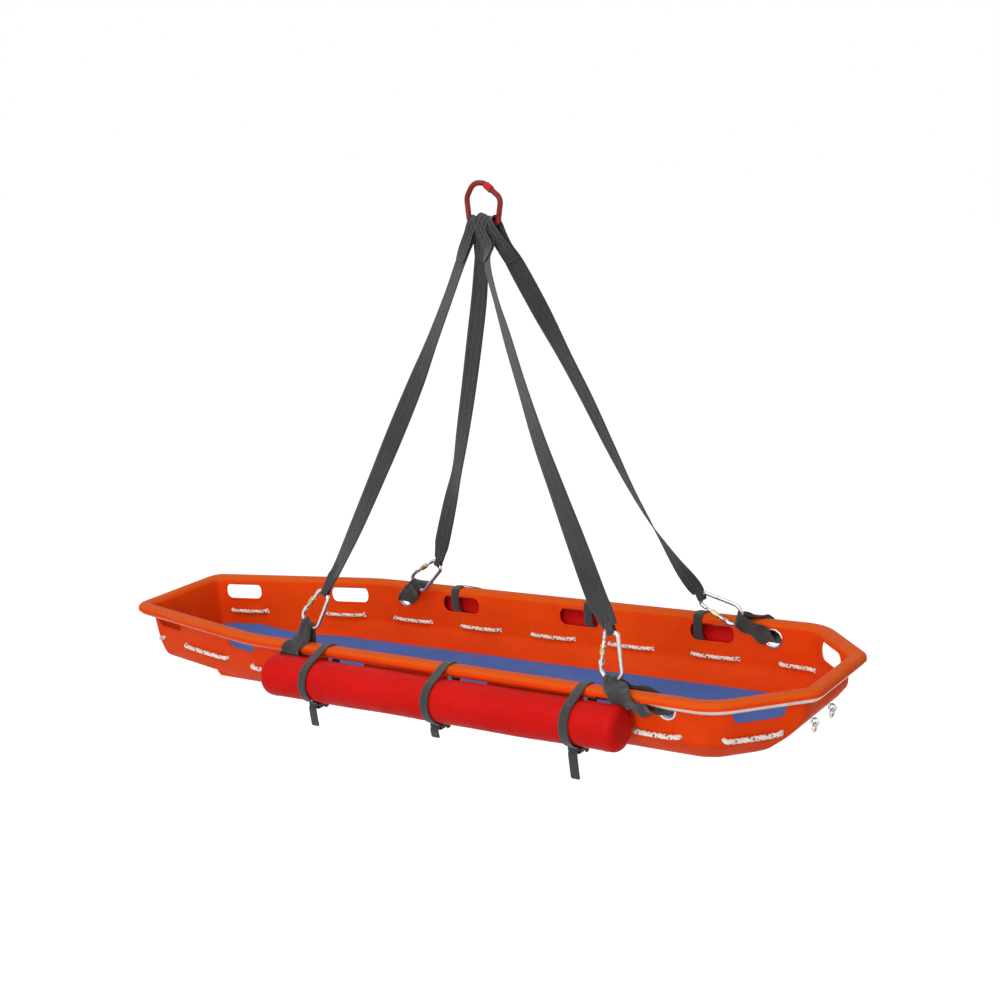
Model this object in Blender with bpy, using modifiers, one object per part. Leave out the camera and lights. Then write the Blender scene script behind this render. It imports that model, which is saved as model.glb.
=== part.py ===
"""Basket stretcher hung from a four-leg webbing sling, with two side floats.

Units are metres. The world origin is the inside of the lifting ring's crown, +Z is up and +X points
to the head end. The basket hangs a little head up, so its pieces are modelled in the basket's own
level frame, whose origin is the middle of the rim plane, and an empty tilts them into place.
"""

import math

import bmesh
import bpy
import numpy as np
from mathutils import Matrix, Vector

# Overall plan of the rim
BASKET_LENGTH = 2.16
FOOT_HALF_WIDTH = 0.171
SHOULDER_X = -0.510
SHOULDER_HALF_WIDTH = 0.2925
HEAD_CORNER_X = 0.904
HEAD_CORNER_HALF_WIDTH = 0.306
HEAD_HALF_WIDTH = 0.135
FOOT_CORNER_RADIUS = 0.050
SHOULDER_RADIUS = 0.60
HEAD_SHOULDER_RADIUS = 0.130
HEAD_CORNER_RADIUS = 0.045
CORNER_STEPS = 4

# Moulded shell
SHELL_WALL = 0.004
LIP_HEIGHT = 0.017
FLANGE_WIDTH = 0.0375
WALL_DRAFT = 0.07
WALL_MID_DEPTH = 0.080
BEND_DEPTH = 0.120
CHAMFER_DEPTH = 0.158
FLOOR_DEPTH = 0.171
RUNNER_HEIGHT = 0.010
RUNNER_WIDTH = 0.055
RUNNER_OFFSET = 0.145
RUNNER_DRAFT = 0.004
RUNNER_FOOT_X = -0.760
RUNNER_FLAT_X = -0.665
RUNNER_FOOT_RISE = 0.0061
RUNNER_FLAT_SHARE = 0.35
RUNNER_HEAD_X = 0.86
RUNNER_FOOT_SLOPE = 0.012
RUNNER_HEAD_SLOPE = 0.030

# Rim tube under the lip
RIM_TUBE_RADIUS = 0.013
RIM_TUBE_INSET = 0.0178

# Hand slots and the rope holes
SLOT_LENGTH = 0.125
SLOT_HEIGHT = 0.047
SLOT_DEPTH = 0.043
SLOT_STATIONS = (-0.951, -0.589, -0.191, 0.204, 0.604, 0.962)
ROPE_RADIUS = 0.0058
ROPE_DEPTH = 0.103
ROPE_HOLE_RADIUS = 0.0085
ROPE_STATIONS = (-0.996, -0.874, -0.668, -0.546, -0.436, -0.303, -0.192, -0.061, 0.048,
                 0.184, 0.295, 0.427, 0.545, 0.676, 0.793, 0.894, 0.990)
ROPE_TAIL = 0.024
GAP = 0.0004

# Pad
PAD_THICKNESS = 0.014
PAD_EDGE_GAP = 0.020

# Floats and their straps
FLOAT_RADIUS = 0.055
FLOAT_FOOT_X = -0.385
FLOAT_HEAD_X = 0.690
FLOAT_INNER_INSET = 0.029
FLOAT_TOP_DEPTH = 0.020
FLOAT_AXIS_Y = HEAD_CORNER_HALF_WIDTH - FLOAT_INNER_INSET + FLOAT_RADIUS
FLOAT_AXIS_Z = -FLOAT_TOP_DEPTH - FLOAT_RADIUS
FLOAT_END_RADIUS = 0.022
FLOAT_SIDES = 20
FLOAT_STRAP_WIDTH = 0.026
FLOAT_STRAP_THICKNESS = 0.002
NEAR_STRAP_STATIONS = (-0.229, 0.166, 0.565)
FAR_STRAP_STATIONS = (-0.210, 0.234, 0.565)
NEAR_TAILS = (0.045, 0.018, 0.060)
FAR_TAILS = (0.040, 0.050, 0.045)
BUCKLE_LENGTH = 0.034
BUCKLE_HEIGHT = 0.009
BUCKLE_WALL = 0.005
BUCKLE_SLOT_DEPTH = 0.0062
BUCKLE_SLOT_HEIGHT = 0.0038
BUCKLE_SLOT_PLAY = 0.002
BUCKLE_EAR = (0.003, 0.012, 0.009)
BUCKLE_EAR_INSET = 0.0018
LEVER_PIVOT_OFFSET = 0.010
LEVER_LENGTH = 0.026
LEVER_THICKNESS = 0.003
LEVER_BARREL = 0.0026
STRAP_ABOVE_SLOT_EDGE = 0.0065

# Sling anchors: the hole in the side wall, its metal eyelet and the webbing loop
ANCHOR_DEPTH = 0.041
ANCHOR_HOLE_RADIUS = 0.0225
EYELET_WALL = 0.0026
EYELET_LIP = 0.0036
EYELET_LIP_THICKNESS = 0.0013
LOOP_WIDTH = 0.054
LOOP_WIDTH_IN_HOLE = 0.029
LOOP_WIDTH_ON_BAR = 0.020
LOOP_CLEARANCE = 0.0012
LOOP_BOW_CLEARANCE = 0.00087
LOOP_BOW_ANGLE = 35
LOOP_THICKNESS = 0.0045

# Carabiners
CARABINER_LENGTH = 0.1145
CARABINER_BAR = 0.0052
CARABINER_WIDE = 0.031
CARABINER_NARROW = 0.0165
CARABINER_WIDE_BEND = 0.024
CARABINER_NARROW_BEND = 0.010
GATE_START = 0.34
GATE_END = 0.80
GATE_RADIUS = 0.0040
GATE_GAP = 0.0005
SLEEVE_RADIUS = 0.0072
SLEEVE_LENGTH = 0.022
SLEEVE_CLEARANCE = 0.0004
SLEEVE_SHARE = 0.54

# Sling legs
LEG_WIDTH = 0.050
LEG_THICKNESS = 0.0032
LEG_END_WIDTH = 0.0098
LEG_END_THICKNESS = 0.0050
LEG_EYE_THICKNESS = 0.0046
LEG_EYE_CLEARANCE = 0.0010
LEG_EYE_SLACK = 0.0024
LEG_EYE_PLACES = {"foot_near": -0.0278, "foot_far": -0.0090, "head_near": 0.0086, "head_far": 0.0288}
LEG_TAPER = 0.11

# Lifting ring
RING_BAR = 0.00675
RING_DROP = 0.0878
RING_BOTTOM_HALF = 0.0423
RING_SHOULDER_HALF = 0.0505
RING_BEND = 0.011
NUT_RADIUS = 0.0102
NUT_LENGTH = 0.020
NUT_CLEARANCE = 0.0005
NUT_SHARE = 0.72

# Tow eyes at the head end
TOW_SPACING = 0.096
TOW_DEPTH = 0.103
TOW_SHANK_RADIUS = 0.003
TOW_EYE_RADIUS = 0.0085
TOW_EYE_BAR = 0.0024
TOW_EYE_STAND = 0.003
TOW_RING_RADIUS = 0.0105
TOW_RING_BAR = 0.0022
TOW_NUT_RADIUS = 0.0065
TOW_NUT_THICKNESS = 0.005

# How the basket hangs: head end up, and the ring's bottom bar as the basket sees it
HANG_TILT = math.radians(6.49)
BAR_IN_BASKET = Vector((0.196, 0.0, 1.040))

# Each anchor: station of its hole, side, middle of the carabiner's wide bow (X, inset from the rim's
# edge, Z), its long axis (X and Z) and the side its gate is on
ANCHORS = {
    "foot_near": (-0.395, -1, (-0.300, 0.0325, 0.048), (0.624, 0.781), -1),
    "foot_far": (-0.390, 1, (-0.335, 0.0612, 0.008), (0.796, 0.606), -1),
    "head_near": (0.765, -1, (0.6315, 0.0314, 0.0165), (0.090, 0.996), -1),
    "head_far": (0.775, 1, (0.700, 0.0661, 0.012), (-0.9225, 0.3858), -1),
}

# Colour, roughness and metallic value of each finish
FINISHES = {
    "shell_orange": ((0.75, 0.10, 0.015), 0.42, 0.0),
    "float_red": ((0.62, 0.012, 0.012), 0.45, 0.0),
    "pad_blue": ((0.10, 0.15, 0.38), 0.80, 0.0),
    "webbing": ((0.045, 0.042, 0.045), 0.85, 0.0),
    "steel": ((0.72, 0.73, 0.74), 0.28, 1.0),
    "rim_steel": ((0.62, 0.62, 0.62), 0.35, 1.0),
    "ring_red": ((0.30, 0.02, 0.018), 0.45, 0.3),
    "rope_white": ((0.80, 0.74, 0.66), 0.90, 0.0),
    "buckle_black": ((0.03, 0.03, 0.032), 0.50, 0.0),
}


def clear_scene():
    for old in list(bpy.data.objects):
        bpy.data.objects.remove(old, do_unlink=True)


def new_collection(name):
    made = bpy.data.collections.new(name)
    bpy.context.scene.collection.children.link(made)
    return made


def new_finish(name):
    colour, roughness, metallic = FINISHES[name]
    made = bpy.data.materials.new(name)
    made.use_nodes = True
    shader = made.node_tree.nodes["Principled BSDF"]
    shader.inputs["Base Color"].default_value = (*colour, 1.0)
    shader.inputs["Roughness"].default_value = roughness
    shader.inputs["Metallic"].default_value = metallic
    made.diffuse_color = (*colour, 1.0)
    return made


def new_empty(name, parent=None, matrix=None):
    made = bpy.data.objects.new(name, None)
    made.empty_display_size = 0.03
    PARTS.objects.link(made)
    made.parent = parent
    if matrix is not None:
        made.matrix_local = matrix
    return made


def new_piece(name, data, finish, parent, matrix=None):
    """An object of the part, with its data, finish, parent and place under that parent."""
    made = bpy.data.objects.new(name, data)
    PARTS.objects.link(made)
    made.parent = parent
    if matrix is not None:
        made.matrix_local = matrix
    data.materials.append(MATERIALS[finish])
    return made


def new_cutter(name, data, parent, matrix=None):
    """A helper that Booleans use, left out of the part."""
    made = bpy.data.objects.new(name, data)
    CUTTERS.objects.link(made)
    made.parent = parent
    if matrix is not None:
        made.matrix_local = matrix
    made.hide_render = True
    made.display_type = "WIRE"
    return made


def boolean(piece, other, operation):
    step = piece.modifiers.new(other.name, "BOOLEAN")
    step.object = other
    step.operation = operation
    step.solver = "EXACT"


def smooth(mesh, angle=40):
    mesh.shade_smooth()
    mesh.set_sharp_from_angle(angle=math.radians(angle))
    return mesh


def frame_matrix(origin, x_axis, y_axis, z_axis):
    """The matrix whose columns are these axes and this origin."""
    turned = Matrix((x_axis, y_axis, z_axis)).transposed().to_4x4()
    turned.translation = origin
    return turned


def loft(name, rings, cap=True, wrap=False):
    """A surface through rings of equally many points; capped at both ends, or closed on itself."""
    mesh = bpy.data.meshes.new(name)
    model = bmesh.new()
    rows = [[model.verts.new(point) for point in ring] for ring in rings]
    count = len(rows[0])
    pairs = list(zip(rows, rows[1:]))
    if wrap:
        pairs.append((rows[-1], rows[0]))
    for low, high in pairs:
        for i in range(count):
            j = (i + 1) % count
            model.faces.new((low[i], low[j], high[j], high[i]))
    if cap and not wrap:
        model.faces.new(rows[0][::-1])
        model.faces.new(rows[-1])
    bmesh.ops.recalc_face_normals(model, faces=model.faces)
    model.to_mesh(mesh)
    model.free()
    return smooth(mesh)


def box(name, size, bevel=0.0):
    """A box of this size centred on its origin, with rounded edges if bevel is set."""
    mesh = bpy.data.meshes.new(name)
    model = bmesh.new()
    bmesh.ops.create_cube(model, size=1.0)
    bmesh.ops.scale(model, vec=size, verts=model.verts)
    if bevel:
        bmesh.ops.bevel(model, geom=list(model.edges), offset=bevel, segments=1, affect="EDGES")
    model.to_mesh(mesh)
    model.free()
    return mesh


def cylinder(name, radius, length, sides=16, centre=0.0):
    """A cylinder along its own Z."""
    mesh = bpy.data.meshes.new(name)
    model = bmesh.new()
    bmesh.ops.create_cone(model, cap_ends=True, segments=sides, radius1=radius, radius2=radius, depth=length)
    bmesh.ops.translate(model, vec=(0, 0, centre), verts=model.verts)
    model.to_mesh(mesh)
    model.free()
    return smooth(mesh)


def prism(name, outline, low, high):
    """An outline in the XY plane carried from low to high along Z."""
    return loft(name, [[(x, y, low) for x, y in outline], [(x, y, high) for x, y in outline]])


def turned(name, profile, steps):
    """A closed profile of (radius, height) points turned about Z."""
    rings = []
    for k in range(steps):
        angle = 2 * math.pi * k / steps
        rings.append([(r * math.cos(angle), r * math.sin(angle), h) for r, h in profile])
    return loft(name, rings, wrap=True)


def rounded_outline(corners, radii, steps):
    """The points of a closed outline whose corners are arcs of these radii."""
    points = []
    count = len(corners)
    for i in range(count):
        here = np.array(corners[i], float)
        back = np.array(corners[i - 1], float) - here
        ahead = np.array(corners[(i + 1) % count], float) - here
        back /= np.linalg.norm(back)
        ahead /= np.linalg.norm(ahead)
        half = 0.5 * math.acos(float(np.clip(back @ ahead, -1, 1)))
        reach = radii[i] / math.tan(half)
        middle = here + (back + ahead) / np.linalg.norm(back + ahead) * radii[i] / math.sin(half)
        start = here + back * reach - middle
        end = here + ahead * reach - middle
        turn = math.atan2(start[0] * end[1] - start[1] * end[0], float(start @ end))
        for k in range(steps + 1):
            angle = turn * k / steps
            cos, sin = math.cos(angle), math.sin(angle)
            points.append((middle[0] + cos * start[0] - sin * start[1],
                           middle[1] + sin * start[0] + cos * start[1]))
    return points


def tube(name, points, radius, finish, parent, cyclic=False, resolution=2):
    """A round bar along points, as a curve with a bevel and filled caps."""
    curve = bpy.data.curves.new(name, "CURVE")
    curve.dimensions = "3D"
    curve.bevel_depth = radius
    curve.bevel_resolution = resolution
    curve.use_fill_caps = True
    spline = curve.splines.new("POLY")
    spline.points.add(len(points) - 1)
    for place, point in zip(spline.points, points):
        place.co = (*point, 1.0)
    spline.use_cyclic_u = cyclic
    return new_piece(name, curve, finish, parent)


def ribbon(name, path, finish, parent, closed=False, sheared=False):
    """A strap: path is a list of (centre, across, width, thickness), and across is its width's way.

    A sheared strap keeps its rows exactly along across, even where it runs aslant.
    """
    rings = []
    count = len(path)
    for i, (centre, across, width, thickness) in enumerate(path):
        before = path[i - 1][0] if i or closed else centre
        after = path[(i + 1) % count][0] if i < count - 1 or closed else centre
        along = (after - before).normalized()
        if not sheared:
            across = across - along * across.dot(along)
        side = across.normalized() * width / 2
        face = along.cross(side).normalized() * thickness / 2
        rings.append([centre + side + face, centre - side + face, centre - side - face, centre + side - face])
    return new_piece(name, loft(name, rings, wrap=closed), finish, parent)


def plan_outline(foot_end, foot_taper, side, head_taper, head_end, shrink):
    """The rim's plan with each edge moved inwards by its own amount and the corners' radii cut by shrink."""
    half = BASKET_LENGTH / 2
    corners = [(-half, -FOOT_HALF_WIDTH), (SHOULDER_X, -SHOULDER_HALF_WIDTH),
               (HEAD_CORNER_X, -HEAD_CORNER_HALF_WIDTH), (half, -HEAD_HALF_WIDTH)]
    corners += [(x, -y) for x, y in reversed(corners)]
    insets = (foot_taper, side, head_taper, head_end, head_taper, side, foot_taper, foot_end)
    lines = []
    for i, inset in enumerate(insets):
        a = np.array(corners[i])
        b = np.array(corners[(i + 1) % len(corners)])
        along = (b - a) / np.linalg.norm(b - a)
        lines.append((a + np.array((-along[1], along[0])) * inset, along))
    moved = []
    for i in range(len(lines)):
        (a, u), (b, v) = lines[i - 1], lines[i]
        reach = ((b - a)[0] * v[1] - (b - a)[1] * v[0]) / (u[0] * v[1] - u[1] * v[0])
        moved.append(tuple(a + u * reach))
    radii = [max(FOOT_CORNER_RADIUS - shrink, 0.012), SHOULDER_RADIUS - shrink,
             max(HEAD_SHOULDER_RADIUS - shrink, 0.02), max(HEAD_CORNER_RADIUS - shrink, 0.012)]
    return rounded_outline(moved, radii + radii[::-1], CORNER_STEPS)


def level(z, insets, shrink):
    return [(x, y, z) for x, y in plan_outline(*insets, shrink)]


def wall_inset(depth):
    """How far the upper wall's outer face stands inside the rim's edge at this depth."""
    return FLANGE_WIDTH + WALL_DRAFT * max(depth - 0.011, 0.0)


def rim_line(stand):
    """The skin's section over the rim, as (inset, z), from the lip's lower edge to the bend in the wall.

    A stand of zero gives the skin's underside and outer face, a stand of one wall its top and inner
    face, and more than that a line that clears them.
    """
    flange = FLANGE_WIDTH - 0.0065
    line = [(SHELL_WALL, -LIP_HEIGHT), (SHELL_WALL, -0.008), (SHELL_WALL + 0.0045, -SHELL_WALL),
            (flange, -SHELL_WALL), (FLANGE_WIDTH, -0.011), (wall_inset(BEND_DEPTH), -BEND_DEPTH)]
    normals = []
    for (a, b), (c, d) in zip(line, line[1:]):
        length = math.hypot(c - a, d - b)
        normals.append(((b - d) / length, (c - a) / length))
    moved = []
    for i, (a, b) in enumerate(line):
        (p, q), (r, s) = normals[max(i - 1, 0)], normals[min(i, len(normals) - 1)]
        mitre = stand / (1 + p * r + q * s)
        moved.append((a + (p + r) * mitre, b + (q + s) * mitre))
    return moved


def shell_levels():
    """The shell's outer surface from the lip's lower edge to the floor, as rings."""
    mid, bend = wall_inset(WALL_MID_DEPTH), wall_inset(BEND_DEPTH)
    lip, side, top, flange, wall, _ = rim_line(0.0)
    return [
        level(lip[1], (lip[0],) * 5, lip[0]),
        level(side[1], (side[0],) * 5, side[0]),
        level(top[1], (top[0],) * 5, top[0]),
        level(flange[1], (flange[0],) * 5, 0.022),
        level(wall[1], (wall[0],) * 5, 0.026),
        level(-WALL_MID_DEPTH, (mid, mid, mid, mid, mid + 0.004), 0.026),
        level(-BEND_DEPTH, (bend + 0.002, bend, bend, bend + 0.013, bend + 0.037), 0.026),
        level(-CHAMFER_DEPTH, [bend + step for step in (0.007, 0.013, 0.035, 0.050, 0.090)], 0.032),
        level(-FLOOR_DEPTH + 0.0015, [bend + step for step in (0.017, 0.027, 0.055, 0.073, 0.120)], 0.036),
        level(-FLOOR_DEPTH, [bend + step for step in (0.030, 0.040, 0.067, 0.085, 0.135)], 0.036),
    ]


def wall_ring(depth):
    """The ring of the upper wall's outer face at a depth between its top and its bend."""
    rings = shell_levels()[4:7]
    for high, low in zip(rings, rings[1:]):
        top, bottom = -high[0][2], -low[0][2]
        if top <= depth <= bottom:
            share = (depth - top) / (bottom - top)
            return [Vector(a).lerp(Vector(b), share) for a, b in zip(high, low)]
    raise ValueError("depth is off the upper wall")


def wall_frame(x, side, depth):
    """On the wall's outer face at station x: origin, the way along it, up it and out of it."""
    here, above = wall_ring(depth), wall_ring(depth - 0.006)
    count = len(here)
    for i in range(count):
        a, b = here[i], here[(i + 1) % count]
        if side * (a.y + b.y) <= 0 or (a.x - x) * (b.x - x) > 0 or abs(a.x - b.x) < 1e-6:
            continue
        share = (x - a.x) / (b.x - a.x)
        origin = a.lerp(b, share)
        upper = above[i].lerp(above[(i + 1) % count], share)
        along = (b - a).normalized()
        if along.x < 0:
            along = -along
        up = (upper - origin)
        up = (up - along * up.dot(along)).normalized()
        out = along.cross(up)
        if out.y * side < 0:
            out = -out
        return origin, along, up, out
    raise ValueError("station is off the side wall")


def wall_matrix(x, side, depth):
    """A frame whose Z points out of the wall and whose Y runs up it, half a wall in from its outer face."""
    origin, along, up, out = wall_frame(x, side, depth)
    across = up.cross(out)
    return frame_matrix(origin - out * SHELL_WALL / 2, across, up, out)


def make_shell():
    """The moulded basket: lip, flange, walls and floor in one skin, with its runners, slots and holes."""
    rings = shell_levels()
    skin = loft("shell", rings, cap=False)
    model = bmesh.new()
    model.from_mesh(skin)
    model.faces.ensure_lookup_table()
    lowest = [edge for edge in model.edges if edge.is_boundary and edge.verts[0].co.z < -FLOOR_DEPTH + 1e-6]
    bmesh.ops.contextual_create(model, geom=lowest)
    bmesh.ops.recalc_face_normals(model, faces=model.faces)
    if sum(face.normal.z * face.calc_area() for face in model.faces) > 0:
        bmesh.ops.reverse_faces(model, faces=model.faces)
    model.to_mesh(skin)
    model.free()
    shell = new_piece("basket_shell", smooth(skin), "shell_orange", BASKET)
    skin_wall = shell.modifiers.new("wall", "SOLIDIFY")
    skin_wall.thickness = SHELL_WALL
    skin_wall.offset = -1.0
    skin_wall.use_even_offset = True
    for side in (-1, 1):
        boolean(shell, make_runner(side), "UNION")
    slot = rounded_outline([(-SLOT_LENGTH / 2, -SLOT_HEIGHT / 2), (SLOT_LENGTH / 2, -SLOT_HEIGHT / 2),
                            (SLOT_LENGTH / 2, SLOT_HEIGHT / 2), (-SLOT_LENGTH / 2, SLOT_HEIGHT / 2)],
                           [SLOT_HEIGHT * 0.42] * 4, 3)
    slot_mesh = prism("slot_cut", slot, -0.012, 0.012)
    rope_mesh = cylinder("rope_cut", ROPE_HOLE_RADIUS, 0.02, 8)
    anchor_mesh = cylinder("anchor_cut", ANCHOR_HOLE_RADIUS, 0.02, 20)
    for side, word in ((-1, "near"), (1, "far")):
        for i, x in enumerate(SLOT_STATIONS):
            cut = new_cutter(f"slot_cut_{word}_{i}", slot_mesh, BASKET, wall_matrix(x, side, SLOT_DEPTH))
            boolean(shell, cut, "DIFFERENCE")
        for i, x in enumerate(ROPE_STATIONS):
            cut = new_cutter(f"rope_cut_{word}_{i}", rope_mesh, BASKET, wall_matrix(x, side, ROPE_DEPTH))
            boolean(shell, cut, "DIFFERENCE")
    for name, (x, side, *_) in ANCHORS.items():
        cut = new_cutter(f"anchor_cut_{name}", anchor_mesh, BASKET, wall_matrix(x, side, ANCHOR_DEPTH))
        boolean(shell, cut, "DIFFERENCE")
    shank_mesh = cylinder("shank_cut", TOW_SHANK_RADIUS + GAP, 0.03, 10)
    for side, word in ((-1, "near"), (1, "far")):
        boolean(shell, new_cutter(f"shank_cut_{word}", shank_mesh, BASKET, tow_matrix(side)), "DIFFERENCE")
    return shell


def make_runner(side):
    """One moulded skid under the floor, with sloping ends; it sinks into the floor's skin to join it."""
    top = -FLOOR_DEPTH + SHELL_WALL * 0.6
    bottom = -FLOOR_DEPTH - RUNNER_HEIGHT
    half = RUNNER_WIDTH / 2
    foot = half - RUNNER_DRAFT
    rings = []
    y = RUNNER_OFFSET
    for x, rise, slope in ((RUNNER_FOOT_X, RUNNER_FOOT_RISE, RUNNER_FOOT_SLOPE), (RUNNER_FLAT_X, 0.0, 0.0),
                           (RUNNER_HEAD_X, 0.0, -RUNNER_HEAD_SLOPE)):
        rings.append([(x, side * (y - half), top), (x, side * (y + RUNNER_FLAT_SHARE * half), top),
                      (x, side * (y + half), top + rise), (x + slope, side * (y + foot), bottom),
                      (x + slope, side * (y - foot), bottom)])
    return new_cutter(f"runner_{side}", loft("runner", rings), BASKET)


def make_rim_tube():
    outline = plan_outline(*(RIM_TUBE_INSET,) * 5, RIM_TUBE_INSET)
    z = -SHELL_WALL - RIM_TUBE_RADIUS - GAP
    tube("rim_tube", [(x, y, z) for x, y in outline], RIM_TUBE_RADIUS, "rim_steel", BASKET, cyclic=True)


def make_pad():
    """The foam pad on the floor, inside the floor's outline."""
    bend = wall_inset(BEND_DEPTH)
    insets = [bend + step + PAD_EDGE_GAP for step in (0.016, 0.029, 0.049, 0.074, 0.124)]
    outline = plan_outline(*insets, 0.0)
    low = -FLOOR_DEPTH + SHELL_WALL + GAP
    new_piece("pad", prism("pad", outline, low, low + PAD_THICKNESS), "pad_blue", BASKET)


def make_float(name, side):
    """A closed foam cylinder with rounded ends, turned about its axis."""
    length = FLOAT_HEAD_X - FLOAT_FOOT_X
    bulge = FLOAT_RADIUS - FLOAT_END_RADIUS
    profile = []
    for k in range(4):
        angle = math.pi / 2 * k / 3
        profile.append((bulge + FLOAT_END_RADIUS * math.sin(angle), FLOAT_END_RADIUS * (1 - math.cos(angle))))
    profile += [(r, length - h) for r, h in reversed(profile)]
    rings = []
    turns = [2 * math.pi * k / FLOAT_SIDES for k in range(FLOAT_SIDES)]
    for r, h in profile:
        rings.append([(FLOAT_FOOT_X + h, side * FLOAT_AXIS_Y + r * math.cos(turn),
                       FLOAT_AXIS_Z + r * math.sin(turn)) for turn in turns])
    new_piece(name, loft(name, rings), "float_red", BASKET)


def arc(centre, radius, start, end, steps):
    """Points (y, z) on an arc, angles in degrees."""
    return [(centre[0] + radius * math.cos(math.radians(start + (end - start) * k / steps)),
             centre[1] + radius * math.sin(math.radians(start + (end - start) * k / steps)))
            for k in range(steps + 1)]


def strap_path(x, tail):
    """The float strap's route in the plane across the basket, for the +Y side: (y, z) points.

    It starts at the buckle's outer end under the float, goes up round the float, over the rim, down
    the inside of the wall, out through the hand slot, round the float's inner side and through the
    buckle, and ends as a short hanging tail.
    """
    half = FLOAT_STRAP_THICKNESS / 2
    around = (FLOAT_RADIUS + GAP + half) / math.cos(math.radians(9))
    axis = (FLOAT_AXIS_Y, FLOAT_AXIS_Z)
    over = half + GAP
    _, _, corner, flange, top, bend = [(rim_at(x) - inset, z) for inset, z in rim_line(SHELL_WALL + over)]
    lean = math.degrees(math.atan2(corner[1] - axis[1], corner[0] - axis[0]))
    reach = math.hypot(corner[0] - axis[0], corner[1] - axis[1])
    leave = lean - math.degrees(math.acos(around / reach))
    through = -SLOT_DEPTH - SLOT_HEIGHT / 2 + STRAP_ABOVE_SLOT_EDGE
    wall = rim_at(x) - wall_inset(-through)
    share = (top[1] - through - 0.012) / (top[1] - bend[1])
    inside = (top[0] + (bend[0] - top[0]) * share, through + 0.012)
    below = (wall + 0.004, through - 0.003)
    meet = math.degrees(math.atan2(below[1] - axis[1], below[0] - axis[0])) % 360
    reach = math.hypot(below[0] - axis[0], below[1] - axis[1])
    meet += math.degrees(math.acos(min(around / reach, 1.0)))
    slot_z = axis[1] - FLOAT_RADIUS - BUCKLE_SLOT_DEPTH
    enter = (-BUCKLE_LENGTH / 2 - 0.004, slot_z - axis[1])
    part = math.degrees(math.atan2(enter[1], enter[0])) % 360
    part -= math.degrees(math.acos(around / math.hypot(*enter)))
    points = [(axis[0] + BUCKLE_LENGTH / 2 + 0.0012, axis[1] - around - 0.001)]
    points += arc(axis, around, -62, leave, 9)
    points += [corner, flange, top, inside, (wall - SHELL_WALL / 2, through + 0.001), below]
    points += arc(axis, around, meet, part, 2)
    points += [(axis[0] + enter[0], slot_z), (axis[0] + BUCKLE_LENGTH / 2 + 0.001, slot_z)]
    drop = axis[0] + BUCKLE_LENGTH / 2 + 0.008
    points += [(drop - 0.0015, slot_z - 0.003), (drop, slot_z - 0.009), (drop - 0.002, slot_z - 0.009 - tail)]
    return points


def rim_at(x):
    """Half the rim's width at station x, on the long sides."""
    share = (x - SHOULDER_X) / (HEAD_CORNER_X - SHOULDER_X)
    return SHOULDER_HALF_WIDTH + share * (HEAD_CORNER_HALF_WIDTH - SHOULDER_HALF_WIDTH)


def make_float_strap(name, x, side, tail):
    path = []
    for y, z in strap_path(x, tail):
        path.append((Vector((x, side * y, z)), Vector((1, 0, 0)), FLOAT_STRAP_WIDTH, FLOAT_STRAP_THICKNESS))
    ribbon(name, path, "webbing", BASKET)


def make_buckle(name, x, side):
    """The cam buckle under the float: a frame with a slot and two ears, and the sprung lever between them."""
    top = FLOAT_AXIS_Z - FLOAT_RADIUS - GAP
    place = Matrix.Translation((x, side * FLOAT_AXIS_Y, top))
    width = FLOAT_STRAP_WIDTH + 2 * BUCKLE_WALL + BUCKLE_SLOT_PLAY
    frame = new_piece(f"{name}_frame", box(f"{name}_frame", (width, BUCKLE_LENGTH, BUCKLE_HEIGHT), 0.0012),
                      "buckle_black", BASKET, place @ Matrix.Translation((0, 0, -BUCKLE_HEIGHT / 2 - GAP)))
    slot_size = (FLOAT_STRAP_WIDTH + BUCKLE_SLOT_PLAY, 2 * BUCKLE_LENGTH, BUCKLE_SLOT_HEIGHT)
    slot = new_cutter(f"{name}_slot", box("slot", slot_size), BASKET,
                      place @ Matrix.Translation((0, 0, -BUCKLE_SLOT_DEPTH + GAP)))
    boolean(frame, slot, "DIFFERENCE")
    ear_x = width / 2 - BUCKLE_EAR_INSET
    pivot_z = -BUCKLE_HEIGHT - GAP - LEVER_BARREL - 0.0008
    for word, sign in (("a", -1), ("b", 1)):
        ear = new_cutter(f"{name}_ear_{word}", box("ear", BUCKLE_EAR), BASKET,
                         place @ Matrix.Translation((sign * ear_x, -side * LEVER_PIVOT_OFFSET,
                                                     -BUCKLE_HEIGHT - 0.0035)))
        boolean(frame, ear, "UNION")
    pivot_at = (0, -side * LEVER_PIVOT_OFFSET, pivot_z)
    pivot = new_empty(f"{name}_pivot", BASKET, place @ Matrix.Translation(pivot_at))
    inner = 2 * (ear_x - BUCKLE_EAR[0] / 2) - 2 * GAP
    barrel = cylinder(f"{name}_lever", LEVER_BARREL, inner, 10)
    lever = new_piece(f"{name}_lever", barrel, "buckle_black", pivot, Matrix.Rotation(math.pi / 2, 4, "Y"))
    plate = new_cutter(f"{name}_plate", box("plate", (inner - 0.004, LEVER_LENGTH, LEVER_THICKNESS), 0.0008),
                       pivot, Matrix.Translation((0, side * LEVER_LENGTH / 2, -0.0006)))
    boolean(lever, plate, "UNION")


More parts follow.
